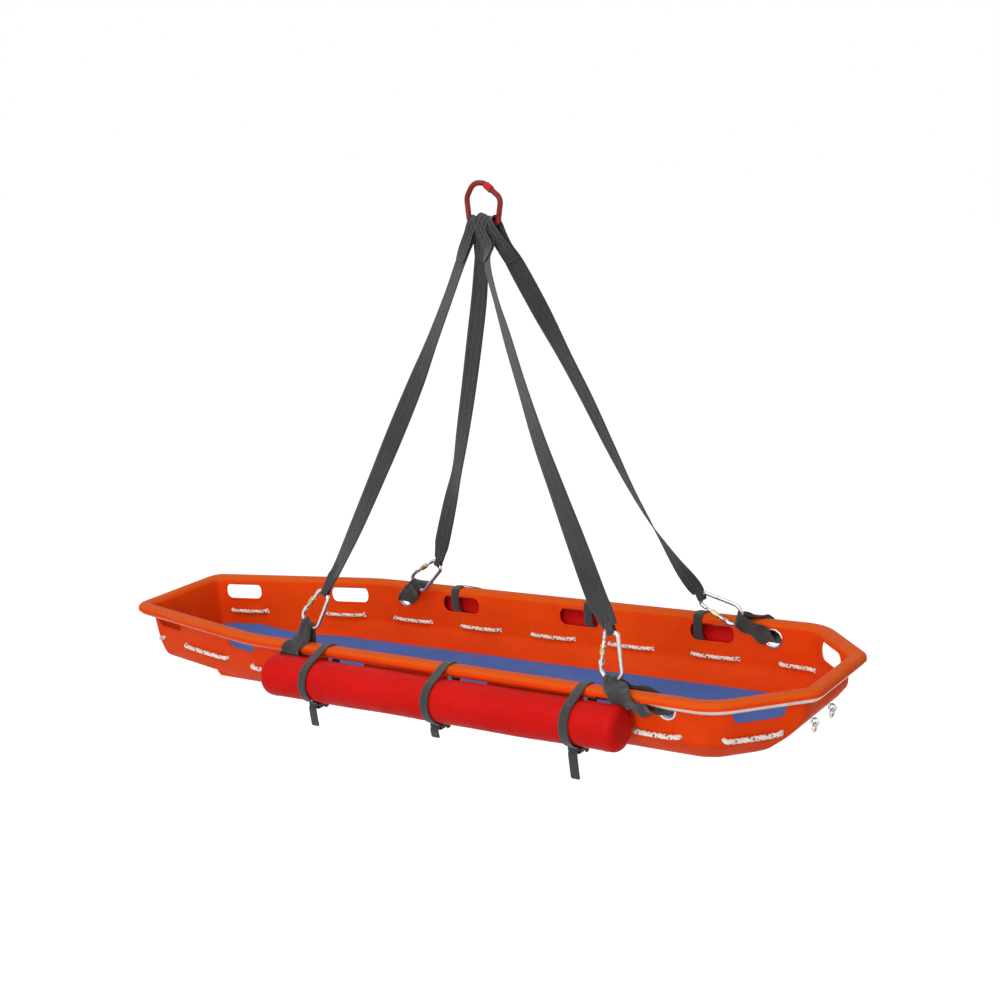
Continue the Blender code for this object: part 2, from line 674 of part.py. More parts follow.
def rope_route(side):
    """The lacing rope's centre line: it weaves through every hole, inside the wall first."""
    off = ROPE_RADIUS + GAP + SHELL_WALL / 2 + 0.0006
    points = []
    inside = 1
    for i, x in enumerate(ROPE_STATIONS):
        origin, along, up, out = wall_frame(x, side, ROPE_DEPTH)
        middle = origin - out * SHELL_WALL / 2
        if i == 0:
            points.append(middle + out * off * inside - along * ROPE_TAIL)
        for angle in (90, 45, 0, -45, -90):
            lean, rise = math.cos(math.radians(angle)), math.sin(math.radians(angle))
            if angle > 0:
                step = (-off + off * lean, off * rise)
            elif angle < 0:
                step = (off - off * lean, off * rise)
            else:
                step = (0.0, 0.0)
            points.append(middle + along * step[0] + out * step[1] * inside)
        if i < len(ROPE_STATIONS) - 1:
            nearby = (ROPE_STATIONS[i] + ROPE_STATIONS[i + 1]) / 2
            origin, along, up, out = wall_frame(nearby, side, ROPE_DEPTH)
            points.append(origin - out * (SHELL_WALL / 2 + off * inside + 0.0005 * inside))
        else:
            points.append(middle - out * off * inside + along * ROPE_TAIL)
        inside = -inside
    return points


def make_rope(name, side):
    """The lacing: at each hole it crosses the wall, so its runs show inside and outside by turns."""
    tube(name, rope_route(side), ROPE_RADIUS, "rope_white", BASKET, resolution=1)


def make_eyelet(name, x, side):
    """The rolled metal eyelet that lines a sling hole."""
    outer = ANCHOR_HOLE_RADIUS - GAP
    inner = outer - EYELET_WALL
    lip = outer + EYELET_LIP
    near = SHELL_WALL / 2 + GAP
    far = near + EYELET_LIP_THICKNESS
    profile = [(inner, -far), (lip, -far), (lip, -near), (outer, -near),
               (outer, near), (lip, near), (lip, far), (inner, far)]
    new_piece(f"{name}_eyelet", turned(f"{name}_eyelet", profile, 20), "steel", BASKET,
              wall_matrix(x, side, ANCHOR_DEPTH))


def anchor_axes(name):
    """The carabiner of an anchor: its wide bow's middle, its long axis, its width's way and its gate side."""
    _, side, (x, inset, z), (ax, az), gate_side = ANCHORS[name]
    long_axis = Vector((ax, 0, az)).normalized()
    across = Vector((long_axis.z, 0, -long_axis.x))
    return Vector((x, side * (rim_at(x) - inset), z)), long_axis, across, gate_side


def loop_path(name):
    """The anchor loop's closed route: out of the eyelet, round the rim and over the carabiner's bow.

    Each row is (share of the lean to the carabiner, inset from the rim's edge, z, twist, width).
    """
    x, side, *_ = ANCHORS[name]
    bow, long_axis, across, _ = anchor_axes(name)
    if across.x < 0:
        across = -across
    lean = math.cos(math.radians(LOOP_BOW_ANGLE))
    turn = (CARABINER_BAR + LOOP_THICKNESS / 2 + LOOP_BOW_CLEARANCE) / lean
    clear = LOOP_THICKNESS / 2 + LOOP_CLEARANCE
    low, lip, top, *_ = rim_line(SHELL_WALL + clear)
    hole = wall_inset(ANCHOR_DEPTH) + SHELL_WALL / 2
    level_z = -ANCHOR_DEPTH - 0.004
    bow_inset = rim_at(bow.x) - abs(bow.y)
    half_over = top[0] + (bow_inset - turn - top[0]) * 0.55
    outside = [(0.00, hole, level_z, 0, LOOP_WIDTH_IN_HOLE),
               (0.03, hole - 0.011, level_z, 0, LOOP_WIDTH_IN_HOLE),
               (0.22, 0.017, level_z + 0.003, 0, LOOP_WIDTH * 0.8), (0.45, 0.011, -0.0325, 0, LOOP_WIDTH),
               (0.60, low[0], low[1] - 0.001, 0, LOOP_WIDTH), (0.70, lip[0], lip[1], 0, LOOP_WIDTH * 0.95),
               (0.78, top[0], top[1], 0, LOOP_WIDTH * 0.9),
               (0.92, half_over, top[1] + max(0.3 * (bow.z - top[1]), 0.005), 0.2, LOOP_WIDTH * 0.6)]
    inner = max(bow_inset, FLANGE_WIDTH + 0.010)
    inside = [(0.80, inner + 0.002, -0.006, 0.5, LOOP_WIDTH * 0.6),
              (0.50, hole + 0.015, -0.020, 0.1, LOOP_WIDTH * 0.7),
              (0.16, hole + 0.0135, level_z + 0.008, 0, LOOP_WIDTH_IN_HOLE + 0.004),
              (0.03, hole + 0.009, level_z, 0, LOOP_WIDTH_IN_HOLE)]
    out = Vector((0, side, 0))
    path = []

    def add(rows):
        for share, inset, z, twist, width in rows:
            at = x + (bow.x - x) * share
            way = Vector((1, 0, 0)) * (1 - twist) + across * twist
            path.append((Vector((at, side * (rim_at(at) - inset), z)), way, width, LOOP_THICKNESS))

    add(outside)
    for angle in (-90, -LOOP_BOW_ANGLE, LOOP_BOW_ANGLE, 90):
        lift, swing = math.cos(math.radians(angle)), -math.sin(math.radians(angle))
        centre = bow + long_axis * turn * lift + out * turn * swing
        path.append((centre, across, LOOP_WIDTH_ON_BAR, LOOP_THICKNESS))
    add(inside)
    return path


def make_loop(name):
    ribbon(f"{name}_anchor_loop", loop_path(name), "webbing", BASKET, closed=True, sheared=True)


def carabiner_outline():
    """The corner points of the bar's centre line in its own plane: (along, across), from the wide bow up."""
    return [(0.0, -CARABINER_WIDE), (0.0, CARABINER_WIDE), (CARABINER_LENGTH, CARABINER_NARROW),
            (CARABINER_LENGTH, -CARABINER_NARROW)]


def make_carabiner(name):
    """A steel screw-lock carabiner: open body, hinged gate and the sleeve that slides on the gate."""
    bow, long_axis, across, gate_side = anchor_axes(name)
    across = across * -gate_side
    normal = long_axis.cross(across)
    place = frame_matrix(bow, long_axis, across, normal)
    corners = carabiner_outline()
    radii = [CARABINER_WIDE_BEND, CARABINER_WIDE_BEND, CARABINER_NARROW_BEND, CARABINER_NARROW_BEND]
    ring = rounded_outline(corners, radii, 5)
    low, high = np.array(corners[0]), np.array(corners[3])
    start = low + (high - low) * GATE_START
    end = low + (high - low) * GATE_END
    way = (high - low) / np.linalg.norm(high - low)
    below = start - way * (GATE_RADIUS + GATE_GAP)
    above = end + way * GATE_GAP
    route = [tuple(below)] + ring + [tuple(above)]
    holder = new_empty(f"{name}_carabiner_place", BASKET, place)
    tube(f"{name}_carabiner_body", [(a, b, 0.0) for a, b in route], CARABINER_BAR, "steel", holder)
    hinge = new_empty(f"{name}_gate_hinge", holder,
                      frame_matrix(Vector((*start, 0)), Vector((-way[1], way[0], 0)), Vector((0, 0, 1)),
                                   Vector((*way, 0))))
    length = float(np.linalg.norm(end - start))
    rings = []
    for angle in (-68, -35, 0):
        r = GATE_RADIUS * math.cos(math.radians(angle))
        h = GATE_RADIUS * math.sin(math.radians(angle))
        rings.append([(r * math.cos(math.pi * k / 5), r * math.sin(math.pi * k / 5), h) for k in range(10)])
    rings.append([(x, y, length) for x, y, _ in rings[-1]])
    new_piece(f"{name}_gate", loft(f"{name}_gate", rings), "steel", hinge)
    inner = GATE_RADIUS + SLEEVE_CLEARANCE
    low_end = length * SLEEVE_SHARE - SLEEVE_LENGTH / 2
    profile = [(inner, low_end), (SLEEVE_RADIUS, low_end), (SLEEVE_RADIUS, low_end + SLEEVE_LENGTH),
               (inner, low_end + SLEEVE_LENGTH)]
    new_piece(f"{name}_gate_sleeve", turned(f"{name}_gate_sleeve", profile, 12), "steel", hinge)


def make_leg(name):
    """One webbing leg: a folded eye on the ring's bar, a flat strap, and a folded eye on the carabiner."""
    bow, long_axis, across, _ = anchor_axes(name)
    bar_way = Vector((math.cos(HANG_TILT), 0, -math.sin(HANG_TILT)))
    top = BAR_IN_BASKET + bar_way * LEG_EYE_PLACES[name]
    bottom = bow + long_axis * CARABINER_LENGTH
    along = (bottom - top).normalized()
    # The load pulls each eye against its bar
    top = top + along * (LEG_EYE_CLEARANCE - GAP)
    bottom = bottom - along * (LEG_EYE_SLACK - GAP)
    length = (bottom - top).length
    bore = {"top": RING_BAR + LEG_EYE_CLEARANCE, "bottom": CARABINER_BAR + LEG_EYE_SLACK}
    path = []
    for at, share, width, thick in (
            (bore["top"] + 0.002, 0.0, LEG_END_WIDTH, LEG_END_THICKNESS),
            (0.022, 0.0, LEG_END_WIDTH + 0.001, LEG_END_THICKNESS),
            (0.036, 0.0, LEG_END_WIDTH + 0.007, LEG_END_THICKNESS),
            (0.070, 0.1, LEG_WIDTH * 0.7, (LEG_END_THICKNESS + LEG_THICKNESS) / 2),
            (LEG_TAPER, 0.15, LEG_WIDTH, LEG_THICKNESS),
            (length * 0.5, 0.5, LEG_WIDTH, LEG_THICKNESS),
            (length - LEG_TAPER, 0.85, LEG_WIDTH, LEG_THICKNESS),
            (length - 0.060, 0.95, LEG_WIDTH * 0.75, (LEG_END_THICKNESS + LEG_THICKNESS) / 2),
            (length - 0.026, 1.0, LEG_END_WIDTH + 0.003, LEG_END_THICKNESS),
            (length - bore["bottom"] - 0.002, 1.0, LEG_END_WIDTH, LEG_END_THICKNESS)):
        bar_side = bar_way - along * bar_way.dot(along)
        eye_side = across - along * across.dot(along)
        if bar_side.dot(eye_side) < 0:
            eye_side = -eye_side
        way = bar_side.normalized().slerp(eye_side.normalized(), share)
        path.append((top + along * at, way, width, thick))
    leg = ribbon(f"{name}_sling_leg", path, "webbing", BASKET)
    for word, centre, axis in (("top", top, bar_way), ("bottom", bottom, across)):
        turn = axis.to_track_quat("Z", "Y").to_matrix().to_4x4()
        turn.translation = centre
        outer = bore[word] + LEG_EYE_THICKNESS
        solid = new_cutter(f"{name}_{word}_eye", cylinder("eye", outer, LEG_END_WIDTH, 16), BASKET, turn)
        boolean(leg, solid, "UNION")
        bore_mesh = cylinder("bore", bore[word], LEG_END_WIDTH * 3, 16)
        hole = new_cutter(f"{name}_{word}_bore", bore_mesh, BASKET, turn)
        boolean(leg, hole, "DIFFERENCE")


def ring_corners():
    """The lifting ring's centre line as corners (x, z), in the ring's own upright plane."""
    top = RING_BAR
    return [(-RING_BOTTOM_HALF, -RING_DROP), (RING_BOTTOM_HALF, -RING_DROP), (RING_SHOULDER_HALF, -0.026),
            (0.001, top), (-0.030, top), (-RING_SHOULDER_HALF, -0.030)]


def make_ring():
    corners = ring_corners()
    outline = rounded_outline(corners, [RING_BEND, RING_BEND, 0.022, 0.018, 0.030, 0.030], 4)
    tube("lifting_ring", [(x, 0.0, z) for x, z in outline], RING_BAR, "ring_red", RING, cyclic=True)
    low = Vector((corners[2][0], 0, corners[2][1]))
    high = Vector((corners[3][0], 0, corners[3][1]))
    way = (high - low).normalized()
    centre = low.lerp(high, NUT_SHARE)
    across = Vector((0, 1, 0))
    seat = new_empty("ring_nut_seat", RING, frame_matrix(centre, across, way.cross(across), way))
    inner = RING_BAR + NUT_CLEARANCE
    half = NUT_LENGTH / 2
    rounding = 0.001
    profile = [(inner, -half), (NUT_RADIUS - rounding, -half), (NUT_RADIUS, -half + rounding),
               (NUT_RADIUS, half - rounding), (NUT_RADIUS - rounding, half), (inner, half)]
    new_piece("ring_nut", turned("ring_nut", profile, 12), "ring_red", seat)


def tow_matrix(side):
    """On the head end's sloping face: Z points out of it, and the origin is on the skin's outer face."""
    rings = shell_levels()
    upper, lower = rings[5], rings[6]
    top = max(point[0] for point in upper)
    bottom = max(point[0] for point in lower)
    share = (TOW_DEPTH - WALL_MID_DEPTH) / (BEND_DEPTH - WALL_MID_DEPTH)
    x = top + (bottom - top) * share
    slope = Vector((bottom - top, 0, WALL_MID_DEPTH - BEND_DEPTH)).normalized()
    out = Vector((-slope.z, 0, slope.x))
    return frame_matrix(Vector((x, side * TOW_SPACING / 2, -TOW_DEPTH)), Vector((0, 1, 0)).cross(out),
                        Vector((0, 1, 0)), out)


def torus(name, radius, bar, around=20, section=8):
    """A ring about its own Z."""
    rings = []
    for k in range(around):
        angle = 2 * math.pi * k / around
        rings.append([((radius + bar * math.cos(2 * math.pi * j / section)) * math.cos(angle),
                       (radius + bar * math.cos(2 * math.pi * j / section)) * math.sin(angle),
                       bar * math.sin(2 * math.pi * j / section)) for j in range(section)])
    return loft(name, rings, wrap=True)


def make_tow_eye(name, side):
    """An eye bolt through the head end's wall, its nut inside, and the loose ring that hangs in it."""
    place = tow_matrix(side)
    inner_end = SHELL_WALL + TOW_NUT_THICKNESS + 0.002
    eye_centre = TOW_EYE_STAND + TOW_EYE_RADIUS + TOW_EYE_BAR
    shank_top = TOW_EYE_STAND + TOW_EYE_BAR
    length = inner_end + shank_top
    bolt = new_piece(f"{name}_eye_bolt",
                     cylinder(f"{name}_eye_bolt", TOW_SHANK_RADIUS, length, 10, shank_top - length / 2),
                     "steel", BASKET, place)
    eye_place = place @ Matrix.Translation((0, 0, eye_centre)) @ Matrix.Rotation(math.pi / 2, 4, "X")
    eye_mesh = torus("eye", TOW_EYE_RADIUS, TOW_EYE_BAR)
    boolean(bolt, new_cutter(f"{name}_eye", eye_mesh, BASKET, eye_place), "UNION")
    collar = new_cutter(f"{name}_collar", cylinder("collar", 0.0062, 0.002, 12, GAP + 0.001), BASKET, place)
    boolean(bolt, collar, "UNION")
    near, far = -SHELL_WALL - GAP, -SHELL_WALL - GAP - TOW_NUT_THICKNESS
    inner = (TOW_SHANK_RADIUS + GAP) / math.cos(math.radians(30))
    profile = [(inner, far), (TOW_NUT_RADIUS, far), (TOW_NUT_RADIUS, near), (inner, near)]
    new_piece(f"{name}_nut", turned(f"{name}_nut", profile, 6), "steel", BASKET, place)
    upright = Matrix.Rotation(HANG_TILT, 4, "Y")
    eye_middle = place @ Vector((0, 0, eye_centre))
    touch = TOW_EYE_RADIUS - TOW_EYE_BAR - TOW_RING_BAR - GAP
    down = upright @ Vector((0, 0, -1))
    pivot_at = eye_middle + down * touch
    pivot = new_empty(f"{name}_pivot", BASKET, Matrix.Translation(pivot_at) @ upright)
    hang = Matrix.Translation((0, 0, -TOW_RING_RADIUS)) @ Matrix.Rotation(math.pi / 2, 4, "Y")
    new_piece(f"{name}_ring", torus(f"{name}_ring", TOW_RING_RADIUS, TOW_RING_BAR), "steel", pivot, hang)


clear_scene()
PARTS = new_collection("basket_stretcher")
CUTTERS = new_collection("cutters")
MATERIALS = {name: new_finish(name) for name in FINISHES}

RING = new_empty("ring_frame")
# The basket frame turns head end up about the ring's bar and then hangs from it
BASKET = new_empty("basket_frame", None,
                   Matrix.Translation((0, 0, -RING_DROP)) @ Matrix.Rotation(-HANG_TILT, 4, "Y")
                   @ Matrix.Translation(-BAR_IN_BASKET))

make_shell()
make_rim_tube()
make_pad()
make_float("near_float", -1)
make_float("far_float", 1)
for word, side, stations, tails in (("near", -1, NEAR_STRAP_STATIONS, NEAR_TAILS),
                                    ("far", 1, FAR_STRAP_STATIONS, FAR_TAILS)):
    for place, x, tail in zip(("foot", "middle", "head"), stations, tails):
        make_float_strap(f"{word}_{place}_float_strap", x, side, tail)
        make_buckle(f"{word}_{place}_buckle", x, side)
    make_rope(f"{word}_lacing_rope", side)
    make_tow_eye(f"{word}_tow", side)
for anchor, (station, side, *_) in ANCHORS.items():
    make_eyelet(anchor, station, side)
    make_loop(anchor)
    make_carabiner(anchor)
    make_leg(anchor)
make_ring()
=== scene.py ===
import math

import bmesh
import bpy
import numpy as np
from mathutils import Matrix, Vector


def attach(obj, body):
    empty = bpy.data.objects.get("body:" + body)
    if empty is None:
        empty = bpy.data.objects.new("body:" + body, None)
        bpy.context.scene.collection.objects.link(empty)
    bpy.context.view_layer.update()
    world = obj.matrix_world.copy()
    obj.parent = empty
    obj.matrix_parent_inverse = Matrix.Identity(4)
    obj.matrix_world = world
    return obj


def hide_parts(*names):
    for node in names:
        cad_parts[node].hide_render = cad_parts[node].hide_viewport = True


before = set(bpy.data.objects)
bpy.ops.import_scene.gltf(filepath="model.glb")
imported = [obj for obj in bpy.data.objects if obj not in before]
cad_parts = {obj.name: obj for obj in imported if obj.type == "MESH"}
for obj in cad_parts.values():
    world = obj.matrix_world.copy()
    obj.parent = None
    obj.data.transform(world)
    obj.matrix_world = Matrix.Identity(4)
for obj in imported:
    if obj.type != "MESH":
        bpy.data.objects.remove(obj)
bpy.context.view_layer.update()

# How the basket hangs: its own pieces are worked out level, with the middle of the rim at zero, and then hung
hang = {"tilt": math.radians(6.49), "drop": 0.0878, "bar": np.array((0.196, 0.0, 1.040))}
sides = (("near", -1), ("far", 1))


def hung(points, free=False):
    # Turned head end up about the ring's bottom bar, then let down from it; a free vector is only turned
    p = np.asarray(points, float) - (0.0 if free else hang["bar"])
    c, s = math.cos(hang["tilt"]), math.sin(hang["tilt"])
    drop = 0.0 if free else hang["drop"]
    return np.stack((c * p[..., 0] - s * p[..., 2], p[..., 1], s * p[..., 0] + c * p[..., 2] - drop), -1)


view = {"place": (2.27551, -3.18559, 0.38211), "right": (0.81957, 0.57298, 0.0),
        "up": (-0.16433, 0.23506, 0.95799), "back": (0.54890, -0.78514, 0.28681), "lens": 57.66,
        "sensor": 36.0, "reach": 60.0}
cameraData = bpy.data.cameras.new("photoCamera")
cameraData.lens = view["lens"]
cameraData.sensor_width = view["sensor"]
cameraData.clip_end = view["reach"]
camera = bpy.data.objects.new("photoCamera", cameraData)
camera.matrix_world = Matrix((view["right"], view["up"], view["back"])).transposed().to_4x4()
camera.matrix_world.translation = view["place"]
bpy.context.scene.collection.objects.link(camera)
bpy.context.scene.camera = camera
bpy.context.scene.view_settings.view_transform = "Standard"

studio = {"floorHeight": -2.45, "floorSize": 40.0, "floorColour": 0.50, "floorLift": 0.76,
          "skyStrength": 0.55, "aim": (0.0, 0.0, -0.95),
          "key": {"place": (1.7, -6.6, 1.1), "size": 3.2, "power": 232.0},
          "fill": {"place": (-1.6, -3.1, 2.8), "size": 2.6, "power": 42.0},
          "top": {"place": (0.3, -1.7, 3.2), "size": 2.8, "power": 30.0}}


def seenByCamera(nodes, links):
    # One for a camera, glossy or transmission ray, and nothing for the rays that light the object
    paths = nodes.new("ShaderNodeLightPath")
    first = nodes.new("ShaderNodeMath")
    second = nodes.new("ShaderNodeMath")
    second.use_clamp = True
    links.new(paths.outputs["Is Camera Ray"], first.inputs[0])
    links.new(paths.outputs["Is Glossy Ray"], first.inputs[1])
    links.new(first.outputs[0], second.inputs[0])
    links.new(paths.outputs["Is Transmission Ray"], second.inputs[1])
    return second.outputs[0]


def makeFloor():
    # A flat square of four points, whose whiteness is lifted only where it is seen
    half = studio["floorSize"] / 2
    corners = [(-half, -half), (half, -half), (half, half), (-half, half)]
    mesh = bpy.data.meshes.new("floor")
    mesh.from_pydata([(x, y, studio["floorHeight"]) for x, y in corners], [], [(0, 1, 2, 3)])
    floor = bpy.data.objects.new("floor", mesh)
    bpy.context.scene.collection.objects.link(floor)
    material = bpy.data.materials.new("floorPale")
    material.use_nodes = True
    nodes, links = material.node_tree.nodes, material.node_tree.links
    nodes.clear()
    matt = nodes.new("ShaderNodeBsdfDiffuse")
    matt.inputs["Color"].default_value = (studio["floorColour"],) * 3 + (1.0,)
    lift = nodes.new("ShaderNodeEmission")
    both = nodes.new("ShaderNodeAddShader")
    strength = nodes.new("ShaderNodeMath")
    strength.operation = "MULTIPLY"
    strength.inputs[1].default_value = studio["floorLift"]
    links.new(seenByCamera(nodes, links), strength.inputs[0])
    links.new(strength.outputs[0], lift.inputs["Strength"])
    links.new(matt.outputs[0], both.inputs[0])
    links.new(lift.outputs[0], both.inputs[1])
    out = nodes.new("ShaderNodeOutputMaterial")
    links.new(both.outputs[0], out.inputs["Surface"])
    mesh.materials.append(material)


def makeSky():
    # White where it is seen, and an even grey light elsewhere
    world = bpy.data.worlds.new("paleRoom")
    bpy.context.scene.world = world
    world.use_nodes = True
    nodes, links = world.node_tree.nodes, world.node_tree.links
    sky = nodes["Background"]
    sky.inputs["Color"].default_value = (1.0, 1.0, 1.0, 1.0)
    mix = nodes.new("ShaderNodeMapRange")
    mix.inputs["To Min"].default_value = studio["skyStrength"]
    mix.inputs["To Max"].default_value = 1.0
    links.new(seenByCamera(nodes, links), mix.inputs["Value"])
    links.new(mix.outputs["Result"], sky.inputs["Strength"])


def makeLamp(name, place, size, power):
    # A round soft lamp that looks at the basket's middle
    lamp = bpy.data.lights.new(name, "AREA")
    lamp.shape = "DISK"
    lamp.size = size
    lamp.energy = power
    made = bpy.data.objects.new(name, lamp)
    made.rotation_euler = (Vector(studio["aim"]) - Vector(place)).to_track_quat("-Z", "Y").to_euler()
    made.location = place
    bpy.context.scene.collection.objects.link(made)


makeFloor()
makeSky()
for lampName in ("key", "fill", "top"):
    makeLamp(lampName, **studio[lampName])
print("camera, floor and lights made")


def newGroup(name, inputs, outputs):
    # Each socket is (label, kind) and, for a number, the value it starts from
    tree = bpy.data.node_groups.new(name, "ShaderNodeTree")
    for way, sockets in (("INPUT", inputs), ("OUTPUT", outputs)):
        for label, kind, *value in sockets:
            socket = tree.interface.new_socket(name=label, in_out=way, socket_type="NodeSocket" + kind)
            if value:
                socket.default_value = value[0]
    return tree, tree.nodes.new("NodeGroupInput").outputs, tree.nodes.new("NodeGroupOutput").inputs


def connect(tree, value, socket):
    if isinstance(value, bpy.types.NodeSocket):
        tree.links.new(value, socket)
    else:
        socket.default_value = value


def calc(tree, operation, first, second=0.0):
    node = tree.nodes.new("ShaderNodeMath")
    node.operation = operation
    connect(tree, first, node.inputs[0])
    connect(tree, second, node.inputs[1])
    return node.outputs[0]


def times(tree, first, second):
    return calc(tree, "MULTIPLY", first, second)


def ridges(tree, value):
    # |sin(pi value)|: one ridge for each whole step
    return calc(tree, "ABSOLUTE", calc(tree, "SINE", times(tree, value, math.pi)))


def vectorCalc(tree, operation, first, second):
    node = tree.nodes.new("ShaderNodeVectorMath")
    node.operation = operation
    connect(tree, first, node.inputs[0])
    connect(tree, second, node.inputs[1])
    return node.outputs["Value" if operation == "DOT_PRODUCT" else "Vector"]


def splitVector(tree, vector):
    node = tree.nodes.new("ShaderNodeSeparateXYZ")
    connect(tree, vector, node.inputs[0])
    return node.outputs


def ramp(tree, value, low, high, toLow=0.0, toHigh=1.0):
    node = tree.nodes.new("ShaderNodeMapRange")
    node.interpolation_type = "SMOOTHSTEP"
    for label, number in (("From Min", low), ("From Max", high), ("To Min", toLow), ("To Max", toHigh)):
        connect(tree, number, node.inputs[label])
    connect(tree, value, node.inputs["Value"])
    return node.outputs["Result"]


def noise(tree, vector, scale, detail=3.0, roughness=0.5):
    node = tree.nodes.new("ShaderNodeTexNoise")
    connect(tree, vector, node.inputs["Vector"])
    connect(tree, scale, node.inputs["Scale"])
    node.inputs["Detail"].default_value = detail
    node.inputs["Roughness"].default_value = roughness
    return node.outputs["Fac"]


def mixColour(tree, share, first, second):
    node = tree.nodes.new("ShaderNodeMix")
    node.data_type = "RGBA"
    connect(tree, share, node.inputs["Factor"])
    connect(tree, first, node.inputs[6])
    connect(tree, second, node.inputs[7])
    return node.outputs[2]


mottle = {"fineScale": 9.0, "broadShare": 0.75, "fineShare": 0.25, "from": 0.38, "to": 0.64}
grain = {"softScale": 0.35, "cellShare": 0.6}
scratch = {"turns": (0.5, -0.8), "lean": 0.7, "roll": 1.3, "edge": 0.08}
twill = {"step": 0.5, "round": 0.6, "gapFrom": 0.55, "gapTo": 0.10}


def makeMottle():
    # Broad and fine noise added: a colour drifts between itself and a second one
    tree, come, go = newGroup("mottle", (("Vector", "Vector"), ("Colour", "Color"), ("Second", "Color"),
                                         ("Size", "Float", 0.1), ("Amount", "Float", 0.5)),
                              (("Colour", "Color"),))
    broad = noise(tree, come["Vector"], calc(tree, "DIVIDE", 1.0, come["Size"]))
    fine = noise(tree, come["Vector"], calc(tree, "DIVIDE", mottle["fineScale"], come["Size"]), 2.0)
    both = calc(tree, "ADD", times(tree, broad, mottle["broadShare"]), times(tree, fine, mottle["fineShare"]))
    share = times(tree, ramp(tree, both, mottle["from"], mottle["to"]), come["Amount"])
    tree.links.new(mixColour(tree, share, come["Colour"], come["Second"]), go["Colour"])
    return tree


def makeGrain():
    # Pebbled height: cells of a Voronoi pattern softened by noise
    tree, come, go = newGroup("grain", (("Vector", "Vector"), ("Size", "Float", 0.001)),
                              (("Height", "Float"),))
    cells = tree.nodes.new("ShaderNodeTexVoronoi")
    cells.feature = "SMOOTH_F1"
    connect(tree, come["Vector"], cells.inputs["Vector"])
    scale = calc(tree, "DIVIDE", 1.0, come["Size"])
    connect(tree, scale, cells.inputs["Scale"])
    soft = noise(tree, come["Vector"], times(tree, scale, grain["softScale"]), 2.0)
    height = calc(tree, "ADD", times(tree, cells.outputs["Distance"], grain["cellShare"]), soft)
    tree.links.new(height, go["Height"])
    return tree


def makeScratches():
    # Noise drawn out along one way and cut off high: thin marks, in two crossing directions
    tree, come, go = newGroup("scratches", (("Vector", "Vector"), ("Length", "Float", 0.05),
                                            ("Width", "Float", 0.001), ("Cut", "Float", 0.62)),
                              (("Mask", "Float"),))
    marks = []
    for turn in scratch["turns"]:
        lay = tree.nodes.new("ShaderNodeVectorRotate")
        lay.rotation_type = "EULER_XYZ"
        lay.inputs["Rotation"].default_value = (turn, turn * scratch["lean"], turn * scratch["roll"])
        connect(tree, come["Vector"], lay.inputs["Vector"])
        stretch = tree.nodes.new("ShaderNodeCombineXYZ")
        for axis, size in (("X", "Length"), ("Y", "Width"), ("Z", "Width")):
            connect(tree, calc(tree, "DIVIDE", 1.0, come[size]), stretch.inputs[axis])
        drawn = noise(tree, vectorCalc(tree, "MULTIPLY", lay.outputs[0], stretch.outputs[0]), 1.0, 2.0)
        marks.append(ramp(tree, drawn, come["Cut"], calc(tree, "ADD", come["Cut"], scratch["edge"])))
    tree.links.new(calc(tree, "MAXIMUM", *marks), go["Mask"])
    return tree


def makeTwill():
    # Threads across u and along v in metres: each warp rib is crossed by weft steps that shift rib by rib.
    # The gap mask is where painted shade darkens the hollows between threads
    tree, come, go = newGroup("twill", (("UV", "Vector"), ("Pitch", "Float", 0.002), ("Slant", "Float", 0.5)),
                              (("Height", "Float"), ("Gap", "Float")))
    apart = splitVector(tree, come["UV"])
    u, v = (calc(tree, "DIVIDE", apart[k], come["Pitch"]) for k in (0, 1))
    shift = times(tree, calc(tree, "FLOOR", u), come["Slant"])
    warp = ridges(tree, u)
    weft = ridges(tree, calc(tree, "ADD", times(tree, v, twill["step"]), shift))
    height = times(tree, *(calc(tree, "POWER", thread, twill["round"]) for thread in (warp, weft)))
    tree.links.new(height, go["Height"])
    tree.links.new(ramp(tree, height, twill["gapFrom"], twill["gapTo"]), go["Gap"])
    return tree


groups = {"mottle": makeMottle(), "grain": makeGrain(), "scratches": makeScratches(), "twill": makeTwill()}


def use(tree, name, **values):
    node = tree.nodes.new("ShaderNodeGroup")
    node.node_tree = groups[name]
    for label, value in values.items():
        connect(tree, value, node.inputs[label])
    return node.outputs


def colour(*parts):
    # sRGB parts of 255 as linear light
    c = np.array(parts, float) / 255
    linear = np.where(c <= 0.04045, c / 12.92, ((c + 0.055) / 1.055) ** 2.4)
    return tuple(float(x) for x in linear) + (1.0,)


def newMaterial(name, **sockets):
    # What is the same all over the surface is set on the shader's own sockets
    material = bpy.data.materials.new(name)
    material.use_nodes = True
    tree = material.node_tree
    shader = tree.nodes["Principled BSDF"].inputs
    for label, value in sockets.items():
        shader[label.replace("_", " ")].default_value = value
    return material, tree, shader, tree.nodes.new("ShaderNodeTexCoord").outputs


def tinted(tree, at, values):
    # The look's colour, drifting towards its second one
    return use(tree, "mottle", Vector=at, Colour=values["colour"], Second=values["second"],
               Size=values["driftSize"], Amount=values["drift"])["Colour"]


def marked(tree, at, values):
    # Where the look's scuffs or scratches lie
    return use(tree, "scratches", Vector=at, Length=values["markLength"], Width=values["markWidth"],
               Cut=values["markCut"])["Mask"]


def roughen(tree, shader, values, pattern, low, high, worn=0.0):
    # Roughness goes from its first value to its second as the pattern goes from low to high; wear adds to it
    spread = ramp(tree, pattern, low, high, *values["roughness"])
    tree.links.new(calc(tree, "ADD", spread, worn), shader["Roughness"])


def bump(tree, shader, height, distance):
    node = tree.nodes.new("ShaderNodeBump")
    node.inputs["Distance"].default_value = distance
    node.inputs["Strength"].default_value = 1.0
    connect(tree, height, node.inputs["Height"])
    tree.links.new(node.outputs["Normal"], shader["Normal"])


